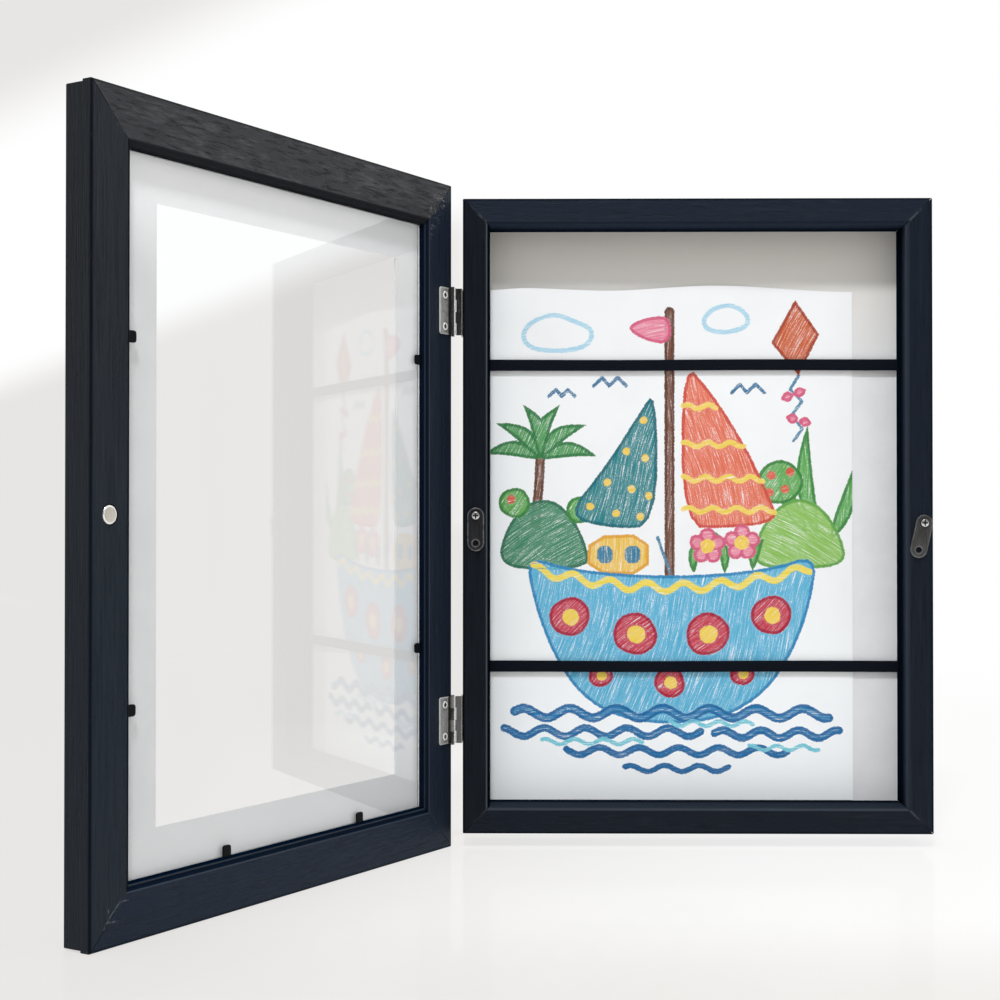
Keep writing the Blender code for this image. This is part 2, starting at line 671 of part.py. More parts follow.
def hanger_outline():
    """A sawtooth hanger, its teeth along the lower edge."""
    half = HANGER_LENGTH / 2
    top = HANGER_HEIGHT / 2
    radius = HANGER_EAR_RADIUS
    points = arc((half - radius, radius - top), radius, -90, 0, ARC_STEPS)
    points += arc((half - radius, top - radius), radius, 0, 90, ARC_STEPS)
    points += arc((radius - half, top - radius), radius, 90, 180, ARC_STEPS)
    points += arc((radius - half, radius - top), radius, 180, 270, ARC_STEPS)
    pitch = HANGER_TOOTH_RUN / HANGER_TOOTH_COUNT
    for tooth in range(HANGER_TOOTH_COUNT):
        start = tooth * pitch - HANGER_TOOTH_RUN / 2
        points.append((start, -top))
        points.append((start + pitch / 2, HANGER_TOOTH_DEPTH - top))
    points.append((HANGER_TOOTH_RUN / 2, -top))
    return points


def hanger(label, centre_x, centre_z, along, board, root):
    """A hanger on the back board with a nail at each end."""
    up = Vector((0, 1, 0)).cross(along) * -1
    name = label + "_hanger"
    mesh = outline_mesh(name, hanger_outline(), HANGER_THICKNESS)
    mid_y = BOARD_BACK_Y + GAP + HANGER_THICKNESS / 2
    place(mesh, along, up, (centre_x, mid_y, centre_z))
    item = add_part(name, mesh, "bright_steel", root)
    seat = GAP + HANGER_THICKNESS + GAP
    profile = [
        (0, seat + NAIL_HEAD_THICKNESS),
        (NAIL_HEAD_RADIUS - NAIL_HEAD_THICKNESS / 2, seat + NAIL_HEAD_THICKNESS),
        (NAIL_HEAD_RADIUS, seat + NAIL_HEAD_THICKNESS / 2),
        (NAIL_HEAD_RADIUS, seat),
        (NAIL_SHANK_RADIUS, seat),
        (NAIL_SHANK_RADIUS, NAIL_SHANK_RADIUS - NAIL_LENGTH),
        (0, -NAIL_LENGTH),
    ]
    for number, sign in enumerate((-1, 1)):
        from_middle = sign * (HANGER_LENGTH / 2 - NAIL_FROM_END)
        spot = Vector((centre_x, BOARD_BACK_Y, centre_z)) + along * from_middle
        name = label + "_hanger_nail_" + str(number + 1)
        mesh = turned_mesh(name, profile, SCREW_SIDES)
        mesh.transform(Matrix.Translation(spot) @ turn_to(Vector((0, 1, 0))))
        add_part(name, mesh, "bright_steel", root)
        ends = (spot - Vector((0, NAIL_LENGTH + GAP, 0)), spot + Vector((0, seat + OVERRUN, 0)))
        hole = rod("hole", NAIL_SHANK_RADIUS + GAP, *ends, HOLE_SIDES)
        cut(item, hole, name, root)
        cut(board, hole.copy(), name, root)


def build_box(root):
    """The box frame with its backing, board, sheet and bands."""
    rails = {}
    names = {"top": "rail", "bottom": "rail", "left": "stile", "right": "stile"}
    for side, kind in names.items():
        name = "box_" + side + "_" + kind
        rails[side] = mitred_rail(
            name, box_profile(), side, BOX_WIDTH, BOX_HEIGHT, BOX_FRONT_Y, Vector((0, 1, 0)), root
        )

    x, z = BOARD_HALF_WIDTH, BOARD_HALF_HEIGHT
    backing_back = BACKING_FRONT_Y + BACKING_THICKNESS
    mesh = block("backing_card", (-x, BACKING_FRONT_Y, -z), (x, backing_back, z))
    add_part("backing_card", mesh, "white_card", root)
    mesh = block("back_board", (-x, BOARD_FRONT_Y, -z), (x, BOARD_BACK_Y, z))
    board = add_part("back_board", mesh, "hardboard", root)

    left = GAP - WELL_HALF_WIDTH
    bottom = GAP - WELL_HALF_HEIGHT
    low = (left, SHEET_BACK_Y - SHEET_THICKNESS, bottom)
    high = (left + SHEET_WIDTH, SHEET_BACK_Y, bottom + SHEET_HEIGHT)
    add_part("art_sheet", block("art_sheet", low, high), "sheet_paper", root)

    for label, sign in (("upper", 1), ("lower", -1)):
        name = label + "_elastic_band"
        middle = sign * BAND_HEIGHT_ABOVE_CENTRE
        reach = WELL_HALF_WIDTH + BAND_SEAT_DEPTH - GAP
        low = Vector((-reach, BAND_BACK_Y - BAND_THICKNESS, middle - BAND_WIDTH / 2))
        high = Vector((reach, BAND_BACK_Y, middle + BAND_WIDTH / 2))
        add_part(name, block(name, low, high), "elastic", root)
        margin = Vector((GAP, GAP, GAP))
        for side in ("left", "right"):
            cut(rails[side], block("slot", low - margin, high + margin), name + "_slot", root)

    near_y = BOARD_BACK_Y + GAP
    across = BOX_WIDTH / 2 - BACK_POINT_FROM_CORNER
    up = BOX_HEIGHT / 2 - BACK_POINT_FROM_CORNER
    for side, rail in rails.items():
        wall = -INWARD[side] * (BOARD_HALF_HEIGHT + GAP)
        reach = across
        if side in ("left", "right"):
            wall = -INWARD[side] * (BOARD_HALF_WIDTH + GAP)
            reach = up
        for number, sign in enumerate((-1, 1)):
            name = "back_point_" + side + "_" + str(number + 1)
            add_point(name, rail, side, wall, sign * reach, near_y, root)

    spot = BOARD_HALF_HEIGHT - HANGER_FROM_BOARD_EDGE
    hanger("upright", 0, spot, Vector((1, 0, 0)), board, root)
    spot = BOARD_HALF_WIDTH - HANGER_FROM_BOARD_EDGE
    hanger("sideways", -spot, 0, Vector((0, 0, 1)), board, root)
    return rails


def mat_board(centre_x, front_y, parent):
    """The card mount, its window's edges cut at a slant."""
    x, z = PANE_HALF_WIDTH, PANE_HALF_HEIGHT
    back_y = front_y - MAT_THICKNESS
    low, high = (centre_x - x, back_y, -z), (centre_x + x, front_y, z)
    mat = add_part("mat_board", block("mat_board", low, high), "mat_card", parent)
    half_x, half_z = x + GAP - MAT_BORDER, z + GAP - MAT_BORDER
    window = block("window", (-half_x, back_y - OVERRUN, -half_z), (half_x, front_y + OVERRUN, half_z))
    slant = MAT_BEVEL / MAT_THICKNESS
    for vertex in window.vertices:
        spread = (front_y - vertex.co.y) * slant
        vertex.co.x += math.copysign(spread, vertex.co.x)
        vertex.co.z += math.copysign(spread, vertex.co.z)
    window.transform(Matrix.Translation((centre_x, 0, 0)))
    cut(mat, window, "window", parent)


def build_door(axis_empty):
    """The door's frame, pane, card mount, points and magnet, drawn closed."""
    face_y = -DOOR_FACE_FROM_PIN
    centre_x = DOOR_CENTRE_FROM_PIN
    middle = empty("door_middle", (centre_x, 0, 0), (0, 0, 0), axis_empty, PARTS)
    rails = {}
    names = {
        "top": "door_top_rail",
        "bottom": "door_bottom_rail",
        "left": "door_hinge_stile",
        "right": "door_free_stile",
    }
    # Seen from the inner side the depth runs to -Y, so each section is drawn mirrored in depth
    section = [(inward, -depth) for inward, depth in reversed(door_profile())]
    for side, name in names.items():
        rails[side] = mitred_rail(
            name, section, side, DOOR_WIDTH, DOOR_HEIGHT, face_y, Vector((0, 1, 0)), middle
        )

    x, z = PANE_HALF_WIDTH, PANE_HALF_HEIGHT
    pane_y = face_y - PANE_RECESS
    low, high = (-x, pane_y - PANE_THICKNESS, -z), (x, pane_y, z)
    add_part("glazing_pane", block("glazing_pane", low, high), "clear_pane", middle)
    mat_board(0, pane_y - PANE_THICKNESS - GAP, middle)

    near_y = pane_y + GAP
    spots = [("right", "free", height) for height in FREE_SIDE_POINT_HEIGHTS]
    spots += [("left", "hinge", height) for height in HINGE_SIDE_POINT_HEIGHTS]
    spots += [("bottom", "bottom", across) for across in BOTTOM_POINT_PLACES]
    counts = {}
    for side, label, spot in spots:
        counts[label] = counts.get(label, 0) + 1
        half = PANE_HALF_HEIGHT if side == "bottom" else PANE_HALF_WIDTH
        sideways = Vector((0, 1, 0)).cross(INWARD[side])
        along = Vector((spot, 0, spot)).dot(sideways)
        name = "pane_point_" + label + "_" + str(counts[label])
        add_point(name, rails[side], side, -INWARD[side] * (half + GAP), along, near_y, middle)

    spot_x = DOOR_WIDTH / 2 - MAGNET_FROM_FREE_EDGE
    top = face_y + MAGNET_PROUD
    ends = ((spot_x, top - MAGNET_THICKNESS, 0), (spot_x, top, 0))
    magnet = rod("door_magnet", MAGNET_RADIUS, *ends, MAGNET_SIDES)
    add_part("door_magnet", magnet, "nickel", middle)
    ends = ((spot_x, top - MAGNET_THICKNESS - GAP, 0), (spot_x, face_y + OVERRUN, 0))
    seat = rod("seat", MAGNET_RADIUS + GAP, *ends, MAGNET_SIDES)
    cut(rails["right"], seat, "magnet_seat", middle)
    return rails


clear_scene()
PARTS = new_collection("Childrens art frame")
CUTTERS = new_collection("Cutters")

box_root = empty("box_root", (0, 0, BOX_CENTRE_Z), (0, 0, 0), None, PARTS)
door_axis = empty("door_axis", (PIN_X, PIN_Y, 0), (0, 0, -DOOR_OPEN_ANGLE), box_root, PARTS)
box_rails = build_box(box_root)
door_rails = build_door(door_axis)
for hinge_label, hinge_sign in (("upper", 1), ("lower", -1)):
    hinge_z = hinge_sign * HINGE_HEIGHT_ABOVE_CENTRE
    hinge(hinge_label, hinge_z, box_rails["left"], door_rails["left"], box_root, door_axis)
left_x = LEFT_PLATE_FROM_SIDE - BOX_WIDTH / 2
right_x = BOX_WIDTH / 2 - RIGHT_PLATE_FROM_SIDE
catch_plate("left", left_x, LEFT_PLATE_HEIGHT, 0, box_rails["left"], box_root)
catch_plate("right", right_x, RIGHT_PLATE_HEIGHT, RIGHT_PLATE_TILT, box_rails["right"], box_root)
bpy.context.view_layer.update()
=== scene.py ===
import math

import bmesh
import bpy
import numpy as np
from mathutils import Euler, Matrix, Vector


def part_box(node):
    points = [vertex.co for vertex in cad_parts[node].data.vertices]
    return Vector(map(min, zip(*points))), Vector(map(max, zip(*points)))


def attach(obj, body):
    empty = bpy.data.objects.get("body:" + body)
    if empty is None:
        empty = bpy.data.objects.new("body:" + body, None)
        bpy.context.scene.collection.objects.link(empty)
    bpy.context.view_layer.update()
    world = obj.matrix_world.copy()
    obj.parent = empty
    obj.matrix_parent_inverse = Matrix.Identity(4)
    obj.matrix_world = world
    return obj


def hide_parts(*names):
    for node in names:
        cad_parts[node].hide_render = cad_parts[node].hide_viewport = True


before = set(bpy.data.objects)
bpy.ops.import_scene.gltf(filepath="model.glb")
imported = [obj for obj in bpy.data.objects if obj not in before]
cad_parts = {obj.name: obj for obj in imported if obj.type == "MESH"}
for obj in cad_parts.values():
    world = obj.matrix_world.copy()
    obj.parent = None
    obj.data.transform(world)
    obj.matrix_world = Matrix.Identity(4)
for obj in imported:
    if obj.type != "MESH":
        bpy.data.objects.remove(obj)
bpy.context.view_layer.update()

# Lengths are in metres, and in the drawing in millimetres. Colours are linear and have no alpha.

# Camera
CAMERA_PLACE = (-0.10158, -0.99550, -0.17687)
CAMERA_TILT = (90.6036, 0.0, 0.615)
CAMERA_LENS = 61.121
CAMERA_SENSOR = 36.0
CAMERA_CLIP = 0.01

# Light. A colour renders about as it is written where the dome and the key lamp both reach it.
WHITE = (1, 1, 1)
DOME = 0.77
DOME_COLOUR = (1.0, 0.988, 0.970)
KEY_POWER = 22.0
KEY_COLOUR = (0.97, 0.985, 1.0)
KEY_SIZE = 0.22
KEY_DISTANCE = 2.0
KEY_ELEVATION = 55.5
KEY_AZIMUTH = -8.0
# What gloss finds in front of the object, where the room is dim, beside 1 behind it
DIM_FRONT = 0.06
# The soft shade on the background: its colour, and its two slanting edges as the camera sees them
SHADE_COLOUR = (0.805, 0.790, 0.775)
SHADE_SLOPES = (0.371, 0.468)
SHADE_LEVELS = (0.1915, 0.3831)
SHADE_SOFTNESS = 0.014
# Where the lower shade ends at its right, as a share of the depth, and the least depth counted
SHADE_SIDE = (-0.008, -0.05)
LEAST_AHEAD = 0.05


def middle_of(node):
    low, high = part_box(node)
    return (low + high) / 2


# Places taken from the frame
SHEET_LOW, SHEET_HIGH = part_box("art_sheet")
BACKING_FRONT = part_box("backing_card")[0].y
BOX_LOW = Vector((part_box("box_left_stile")[0].x, 0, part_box("box_bottom_rail")[0].z))
BOX_HIGH = Vector((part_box("box_right_stile")[1].x, 0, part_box("box_top_rail")[1].z))
BOX_MIDDLE = (BOX_LOW + BOX_HIGH) / 2
BOX_HALF = (BOX_HIGH - BOX_LOW) / 2
PIN = middle_of("upper_hinge_pin")
PIN.z = BOX_MIDDLE.z
DOOR_ANGLE = math.radians(-121.0)
DOOR_OVERHANG = 0.0075
DOOR_HALF = BOX_HALF + Vector((DOOR_OVERHANG, 0, DOOR_OVERHANG))
PIN_TO_WORLD = Matrix.Translation(PIN) @ Matrix.Rotation(DOOR_ANGLE, 4, "Z")
DOOR_TO_WORLD = PIN_TO_WORLD @ Matrix.Translation((BOX_MIDDLE.x - PIN.x, 0, 0))
FLOOR_GAP = 0.0002
FLOOR_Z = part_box("door_bottom_rail")[0].z - FLOOR_GAP

# Faces of the box and of the closed door in depth, the front first
BOX_FACES = (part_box("box_top_rail")[0].y, 0.0)
DOOR_FACES = (-0.0184, -0.0019)
# How far in from the outer edge each rail's flat ends, and how deep its inner wall shows
BOX_INNER = (0.0132, 0.030)
DOOR_INNER = (0.0220, 0.007)
DOOR_BEAD = 0.0247
# From the door's inner face down to the pane, through it, and on to the card mount with its core
PANE_DEPTH, PANE_THICK, MAT_GAP = 0.0046, 0.0020, 0.0003
MAT_FACE = DOOR_FACES[1] - PANE_DEPTH - PANE_THICK - MAT_GAP
MAT_CORE = (MAT_FACE - 0.00125, MAT_FACE - 0.00012)
# Light scratches at the door's lower free corner, as distances from its side and from its end
SCRATCHES = (
    ((0.0180, 0.0192), (0.0236, 0.0189)),
    ((0.0180, 0.0189), (0.0132, 0.0148)),
    ((0.0129, 0.0147), (0.0108, 0.0118)),
    ((0.0096, 0.0114), (0.0166, 0.0111)),
    ((0.0090, 0.0101), (0.0084, 0.0087)),
    ((0.0108, 0.0179), (0.0114, 0.0156)),
)
# How deep from the door's inner face the scratches, the chips and the painted shade round the
# magnet reach
WEAR_DEPTH = 0.004

MAGNET_RADIUS = 0.00425
MAGNET_HALF_THICK = 0.0015
MAGNET_PLACE = DOOR_TO_WORLD.inverted() @ middle_of("door_magnet")

# The catch plates: half width, length, distance between the holes, from the pivot to the end, radii
# of the holes about the pivot and at the free end, and how far the edges are rolled
PLATE_RADIUS = 0.00485
PLATE_LENGTH = 0.0248
PLATE_SPACING = 0.0156
PLATE_END = (PLATE_LENGTH - PLATE_SPACING) / 2
PLATE_HOLES = (0.0015, 0.0016)
PLATE_ROLL = 0.00032
RIGHT_PLATE_TILT = math.radians(12.2)

# The door leaves: thickness, how far their edges are rolled, reach from the pin, radius of the
# corners, depth behind the pin, and where the plate ends beside its own knuckles and the others
LEAF_THICK = 0.0008
LEAF_ROLL = 0.00022
LEAF_REACH = 0.0117
LEAF_CORNER = 0.0014
LEAF_DEPTH = 0.0012
LEAF_ROOTS = (0.0006, 0.0021)
# Their screws: distance from the pin and from the leaf's middle, and radius of the holes
LEAF_SCREW = (0.0064, 0.0089)
LEAF_HOLE = 0.0024
KNUCKLES = 4
KNUCKLE_RADIUS = 0.0017
KNUCKLE_EDGE = 0.0002
KNUCKLE_GAP = 0.00015

# The screws by kind: the axis that they lie along, tint, which on the two pale kinds stands for a
# painted highlight, colour of the painted shade in the recess, then the length and half width of
# its arms and the radius of its middle, how metallic, the head's radius, past which lies a painted
# shadow ring, and how much painted shade darkens it above
SCREWS = {
    "pivot_screw": (1, (0.92, 0.915, 0.90), (0.010, 0.010, 0.011), (0.0017, 0.00042, 0.0008),
                    0.4, 0.00205, 0.75),
    "door_leaf_screw": (1, (0.97, 0.97, 0.96), (0.006, 0.006, 0.007), (0.0014, 0.00030, 0.0011),
                        0.1, 0.0022, 0.0),
    "box_leaf_screw": (0, (0.60, 0.595, 0.58), (0.09, 0.09, 0.09), (0.0014, 0.00030, 0.0005),
                       1.0, 0.00225, 0.0),
}

# The elastic's weave: the distances between its crossing threads and between its cords
WEFT_PITCH = 0.00062
CORD_PITCH = 0.00082


class Value:
    """A number in a node tree. Sums, products and comparisons of values add their own nodes."""

    def __init__(self, nodes, socket):
        self.nodes, self.socket = nodes, socket

    def __add__(self, other):
        return self.nodes.math("ADD", self, other)

    def __sub__(self, other):
        return self.nodes.math("SUBTRACT", self, other)

    def __rsub__(self, other):
        return self.nodes.math("SUBTRACT", other, self)

    def __mul__(self, other):
        return self.nodes.math("MULTIPLY", self, other)

    def __truediv__(self, other):
        return self.nodes.math("DIVIDE", self, other)

    def __lt__(self, other):
        return self.nodes.math("LESS_THAN", self, other)

    def __gt__(self, other):
        return self.nodes.math("GREATER_THAN", self, other)

    def __abs__(self):
        return self.nodes.math("ABSOLUTE", self)

    def ramp(self, low, high, to_low=0.0, to_high=1.0, kind="SMOOTHSTEP"):
        """Goes from to_low to to_high between two places. The first place may be the higher one."""
        inputs = {0: self, 1: low, 2: high, 3: to_low, 4: to_high}
        return self.nodes.value("MapRange", inputs, interpolation_type=kind)

    def line(self, low, high, to_low=0.0, to_high=1.0):
        return self.ramp(low, high, to_low, to_high, "LINEAR")


class Nodes:
    """A node tree, with one short call for each kind of node."""

    def __init__(self, tree):
        self.tree = tree

    def put(self, socket, value):
        """Links or sets an input."""
        if isinstance(value, Value):
            value = value.socket
        if isinstance(value, bpy.types.NodeSocket):
            self.tree.links.new(value, socket)
        else:
            socket.default_value = (*value, 1) if socket.type == "RGBA" else value

    def node(self, kind, inputs=None, **settings):
        item = self.tree.nodes.new("ShaderNode" + kind)
        for name, value in settings.items():
            setattr(item, name, value)
        for place, value in (inputs or {}).items():
            self.put(item.inputs[place], value)
        return item

    def value(self, kind, inputs=None, output=0, **settings):
        return Value(self, self.node(kind, inputs, **settings).outputs[output])

    def math(self, operation, first, second=0.0):
        return self.value("Math", {0: first, 1: second}, operation=operation)

    def most(self, first, *others):
        for other in others:
            first = self.math("MAXIMUM", first, other)
        return first

    def least(self, first, *others):
        for other in others:
            first = self.math("MINIMUM", first, other)
        return first

    def reach(self, first, second):
        """Length of two steps at right angles."""
        return self.math("SQRT", first * first + second * second)

    def from_stroke(self, x, y, start, end):
        """Distance from a straight stroke between two points."""
        wide, tall = end[0] - start[0], end[1] - start[1]
        x, y = x - start[0], y - start[1]
        share = (x * wide + y * tall).line(0.0, wide * wide + tall * tall)
        return self.reach(x - share * wide, y - share * tall)

    def mix(self, share, first, second):
        return self.node("Mix", {0: share, 6: first, 7: second}, data_type="RGBA").outputs[2]

    def object_place(self):
        return self.node("TexCoord").outputs["Object"]

    def vector(self, operation, first, second):
        return self.node("VectorMath", {0: first, 1: second}, operation=operation).outputs[0]

    def swung(self, place, axis, angle):
        inputs = {"Vector": place, "Angle": angle}
        return self.node("VectorRotate", inputs, rotation_type=axis + "_AXIS").outputs[0]

    def parts(self, place):
        return [Value(self, part) for part in self.node("SeparateXYZ", {0: place}).outputs]

    def rays(self, *kinds):
        """1 for rays of these kinds, else 0."""
        outputs = self.node("LightPath").outputs
        return self.most(*(Value(self, outputs[f"Is {kind} Ray"]) for kind in kinds))


class Finish(Nodes):
    """A new material, with its place on the box, on the closed door, or in the world."""

    def __init__(self, name, door=None):
        self.material = bpy.data.materials.new(name)
        self.material.use_nodes = True
        super().__init__(self.material.node_tree)
        self.shader = self.tree.nodes["Principled BSDF"]
        self.output = self.tree.nodes["Material Output"]
        self.place = self.object_place() if door is None else self.local_place(door)

    def local_place(self, door):
        """Coordinates about the middle of the box, or of the door with its swing taken back."""
        place = self.object_place()
        if not door:
            return self.vector("SUBTRACT", place, BOX_MIDDLE)
        closed = self.swung(self.vector("SUBTRACT", place, PIN), "Z", -DOOR_ANGLE)
        return self.vector("SUBTRACT", closed, (BOX_MIDDLE.x - PIN.x, 0, 0))

    def noise(self, scale, detail=2.0, rough=0.5, distortion=0.0, place=None):
        """Noise with one scale or one for each axis, of the material's place or of another."""
        if place is None:
            place = self.place
        if isinstance(scale, tuple):
            place, scale = self.vector("MULTIPLY", place, scale), 1.0
        inputs = {"Vector": place, "Scale": scale, "Detail": detail, "Roughness": rough}
        inputs["Distortion"] = distortion
        return self.value("TexNoise", inputs)

    def set(self, **values):
        """Sets the shader's inputs, named with underscores for spaces."""
        for name, value in values.items():
            self.put(self.shader.inputs[name.replace("_", " ")], value)

    def paint(self, share, colour):
        """Lays a colour over the tone so far, by that share."""
        self.tone = self.mix(share, self.tone, colour)

    def bump(self, height, distance, strength):
        inputs = {"Height": height, "Distance": distance, "Strength": strength}
        self.set(Normal=self.node("Bump", inputs).outputs[0])

    def done(self, **values):
        self.set(Base_Color=self.tone, **values)
        return self.material

    def cover(self, share, other):
        """Shows another shader over the material's own, by that share."""
        blend = self.node("MixShader", {0: share, 1: self.shader.outputs[0], 2: other.outputs[0]})
        self.put(self.output.inputs["Surface"], blend.outputs[0])


# Materials of the frame


def toned(colour, strength):
    """The colour made darker or lighter, at most white."""
    return tuple(min(1.0, part * strength) for part in colour)


class Rail(Finish):
    """The finish of a mitred rail, with distances from its edges, its mitres and its faces."""

    def __init__(self, name, door):
        super().__init__(name, door)
        self.door = door
        self.x, y, self.z = self.parts(self.place)
        half = DOOR_HALF if door else BOX_HALF
        front, back = DOOR_FACES if door else BOX_FACES
        self.from_side, self.from_end = half.x - abs(self.x), half.z - abs(self.z)
        self.nearest = self.least(self.from_side, self.from_end)
        self.off = abs(self.from_side - self.from_end)
        self.from_front, self.from_back = abs(y - front), abs(y - back)
        self.corner = self.nearest + self.least(self.from_front, self.from_back)


def wood_foil(node, deep, pale, contrast, ledge, rubbed, wall_light=None):
    """Black foil with an embossed grain that runs along the rail, and a worn line at each mitre.

    The grain goes from the deep colour to the pale one. The ledge is how light the painted
    highlight on the inner edge is, and rubbed is the width of that light line, which is partly wear
    and partly painted highlight. The wall light is the colour of painted light on the inner wall
    near the front, then the depths where painted shade starts to darken it and where it is dark.
    """
    door = node.startswith("door")
    n = Rail(node + "_foil", door)
    if node.endswith("stile"):
        grain_scale, broad_scale = (620.5, 700.0, 26.0), (70.0, 60.0, 14.0)
    else:
        dash = 91.25 if node == "door_top_rail" else 54.75
        grain_scale, broad_scale = (dash, 700.0, 620.0), (14.0, 60.0, 70.0)
    grain = n.vector("MULTIPLY", n.place, grain_scale)
    pores = n.noise(1.0, 4.0, 0.66, 0.35, grain)
    fine = n.noise((2.7, 2.6, 2.7), place=grain)
    wander = n.noise((0.31, 0.30, 0.31), 1.0, 0.5, 0.6, grain)
    dashes = (pores * 0.7 + wander * 0.3).ramp(0.52, 0.64)
    valleys = pores.ramp(0.47, 0.36)
    ground = tuple(dark * 0.75 + light * 0.25 for dark, light in zip(deep, pale))
    groove_and_edge_shade = toned(deep, 0.42)
    n.tone = n.mix(dashes * contrast, ground, pale)
    n.paint(valleys * contrast, groove_and_edge_shade)
    n.paint(n.noise(broad_scale).ramp(0.35, 0.7, 0.0, 0.3), deep)
    if node == "door_free_stile":
        # Bluer towards its lower end
        n.paint(n.z.ramp(0.13, -0.10) * 0.6, (0.0020, 0.0105, 0.0250))

    # Painted highlight on the inner edge's slope, and painted shade on the wall behind it
    slope, down, inner = inner_edge(n, deep, ledge, rubbed, wall_light)
    n.paint(slope, inner)
    worn = rail_wear(n) * (1.0 - slope)
    # Painted shade along the rounded outer edges and the outer sides, in the grain's groove colour
    rounding = n.corner.ramp(0.0017, 0.0005)
    flank = n.nearest.ramp(0.0011, 0.0008) * 0.45
    n.paint(n.most(rounding * 0.65, flank), groove_and_edge_shade)
    if door:
        joint = n.off.ramp(0.00050, 0.00020) * n.nearest.ramp(0.019, 0.011) * (n.z > 0.0)
        n.paint(joint * 0.75, (0.0012, 0.0014, 0.0018))
    n.paint(worn, (0.115, 0.124, 0.138))
    if door:
        n.paint(hinge_corner_chips(n) * (1.0 - slope) * 0.9, (0.185, 0.190, 0.200))
        # Painted shade in the gap round the magnet
        from_magnet = n.reach(n.x - MAGNET_PLACE.x, n.z - MAGNET_PLACE.z)
        bore = from_magnet.ramp(MAGNET_RADIUS + 0.0009, MAGNET_RADIUS + 0.0004)
        n.paint(bore * (n.from_back < WEAR_DEPTH) * 0.9, (0.0008, 0.0010, 0.0014))

    gloss = 1.0 - n.most(slope * down.ramp(0.0, 1.0, 0.80, 1.0), rounding * 0.75)
    rough = fine.line(0.3, 0.7, 0.40, 0.56) + worn * 0.15
    n.bump(pores * 0.65 + fine * 0.35 - valleys * 0.35, 0.00030, 0.9)
    return n.done(Roughness=rough, Specular_IOR_Level=gloss * (0.20 if door else 0.15))


def inner_edge(n, deep, ledge, rubbed, wall_light):
    """A light line on the slope, a painted highlight on a rubbed edge, then a wall in painted
    shade, with one faint bead on the door painted as a highlight.

    Returns where the slope and the wall are, where the wall is, and their colour.
    """
    flat_end, deepest = DOOR_INNER if n.door else BOX_INNER
    shown = (n.from_back if n.door else n.from_front) < deepest
    slope = n.nearest.ramp(flat_end - 0.0004, flat_end + 0.0002) * shown
    down = n.nearest.ramp(flat_end + rubbed - 0.0005, flat_end + rubbed + 0.0005)
    # Painted highlight: the light line on the slope
    line = n.mix(ledge, deep, (0.085, 0.100, 0.122))
    # Painted shade: the inner wall darker than the face
    wall = toned(deep, 0.7)
    if n.door:
        inner = n.mix(n.nearest.ramp(flat_end + 0.0003, flat_end + 0.0007), line, wall)
        # Painted highlight along the bead
        bead = abs(n.nearest - DOOR_BEAD).ramp(0.0005, 0.0002) * slope
        return slope, down, n.mix(bead * ledge, inner, (0.060, 0.068, 0.082))
    # Painted light on the wall near the front, fading deeper in to the painted shade
    if wall_light is not None:
        lit, start, end = wall_light
        wall = n.mix(n.from_front.ramp(start, end), lit, wall)
    return slope, down, n.mix(down, line, wall)


def rail_wear(n):
    """A thin broken line at the mitres, scuffs beside it, flecks at the edges, and scratches."""
    line_start, line_full, line_share, scuff_share = (
        (0.0075, 0.0130, 0.5, 0.42) if n.door else (0.0025, 0.0085, 1.3, 0.12))
    broken = n.noise(340.0, 2.0, 0.6).ramp(0.44, 0.60)
    line = n.off.ramp(0.00095, 0.0004) * (broken * 0.8 + 0.2)
    line = line * n.nearest.ramp(line_start, line_full, 0.0, line_share)
    scuffs = n.noise((900.0, 300.0, 420.0), 3.0, 0.7, 0.8).ramp(0.655, 0.72)
    scuffs = scuffs * n.off.ramp(0.020, 0.002, 0.0, scuff_share)
    flecks = n.corner.ramp(0.0007, 0.0003) * n.noise(260.0, 3.0, 0.65).ramp(0.62, 0.72)
    worn = n.most(line * 0.5, scuffs, flecks * 0.12)
    if not n.door:
        return worn
    closest = n.least(*(n.from_stroke(n.from_side, n.from_end, *stroke) for stroke in SCRATCHES))
    scratched = (closest + (broken - 0.5) * 0.00022).ramp(0.00045, 0.00012)
    scratched = scratched * (n.x > 0.0) * (n.z < 0.0) * (n.from_back < WEAR_DEPTH)
    skipped = n.noise(520.0, 2.0, 0.6).ramp(0.42, 0.58, 0.15, 0.85)
    return n.most(worn, scratched * skipped)


def hinge_corner_chips(n):
    """Chips along the mitre at the door's upper hinge corner."""
    chips = n.noise((430.0, 300.0, 900.0), 3.0, 0.65, 0.5).ramp(0.56, 0.64)
    chips = chips * n.off.ramp(0.016, 0.0006) * n.nearest.ramp(0.004, 0.009)
    return chips * (n.x < 0.0) * (n.z > 0.0) * (n.from_back < WEAR_DEPTH)


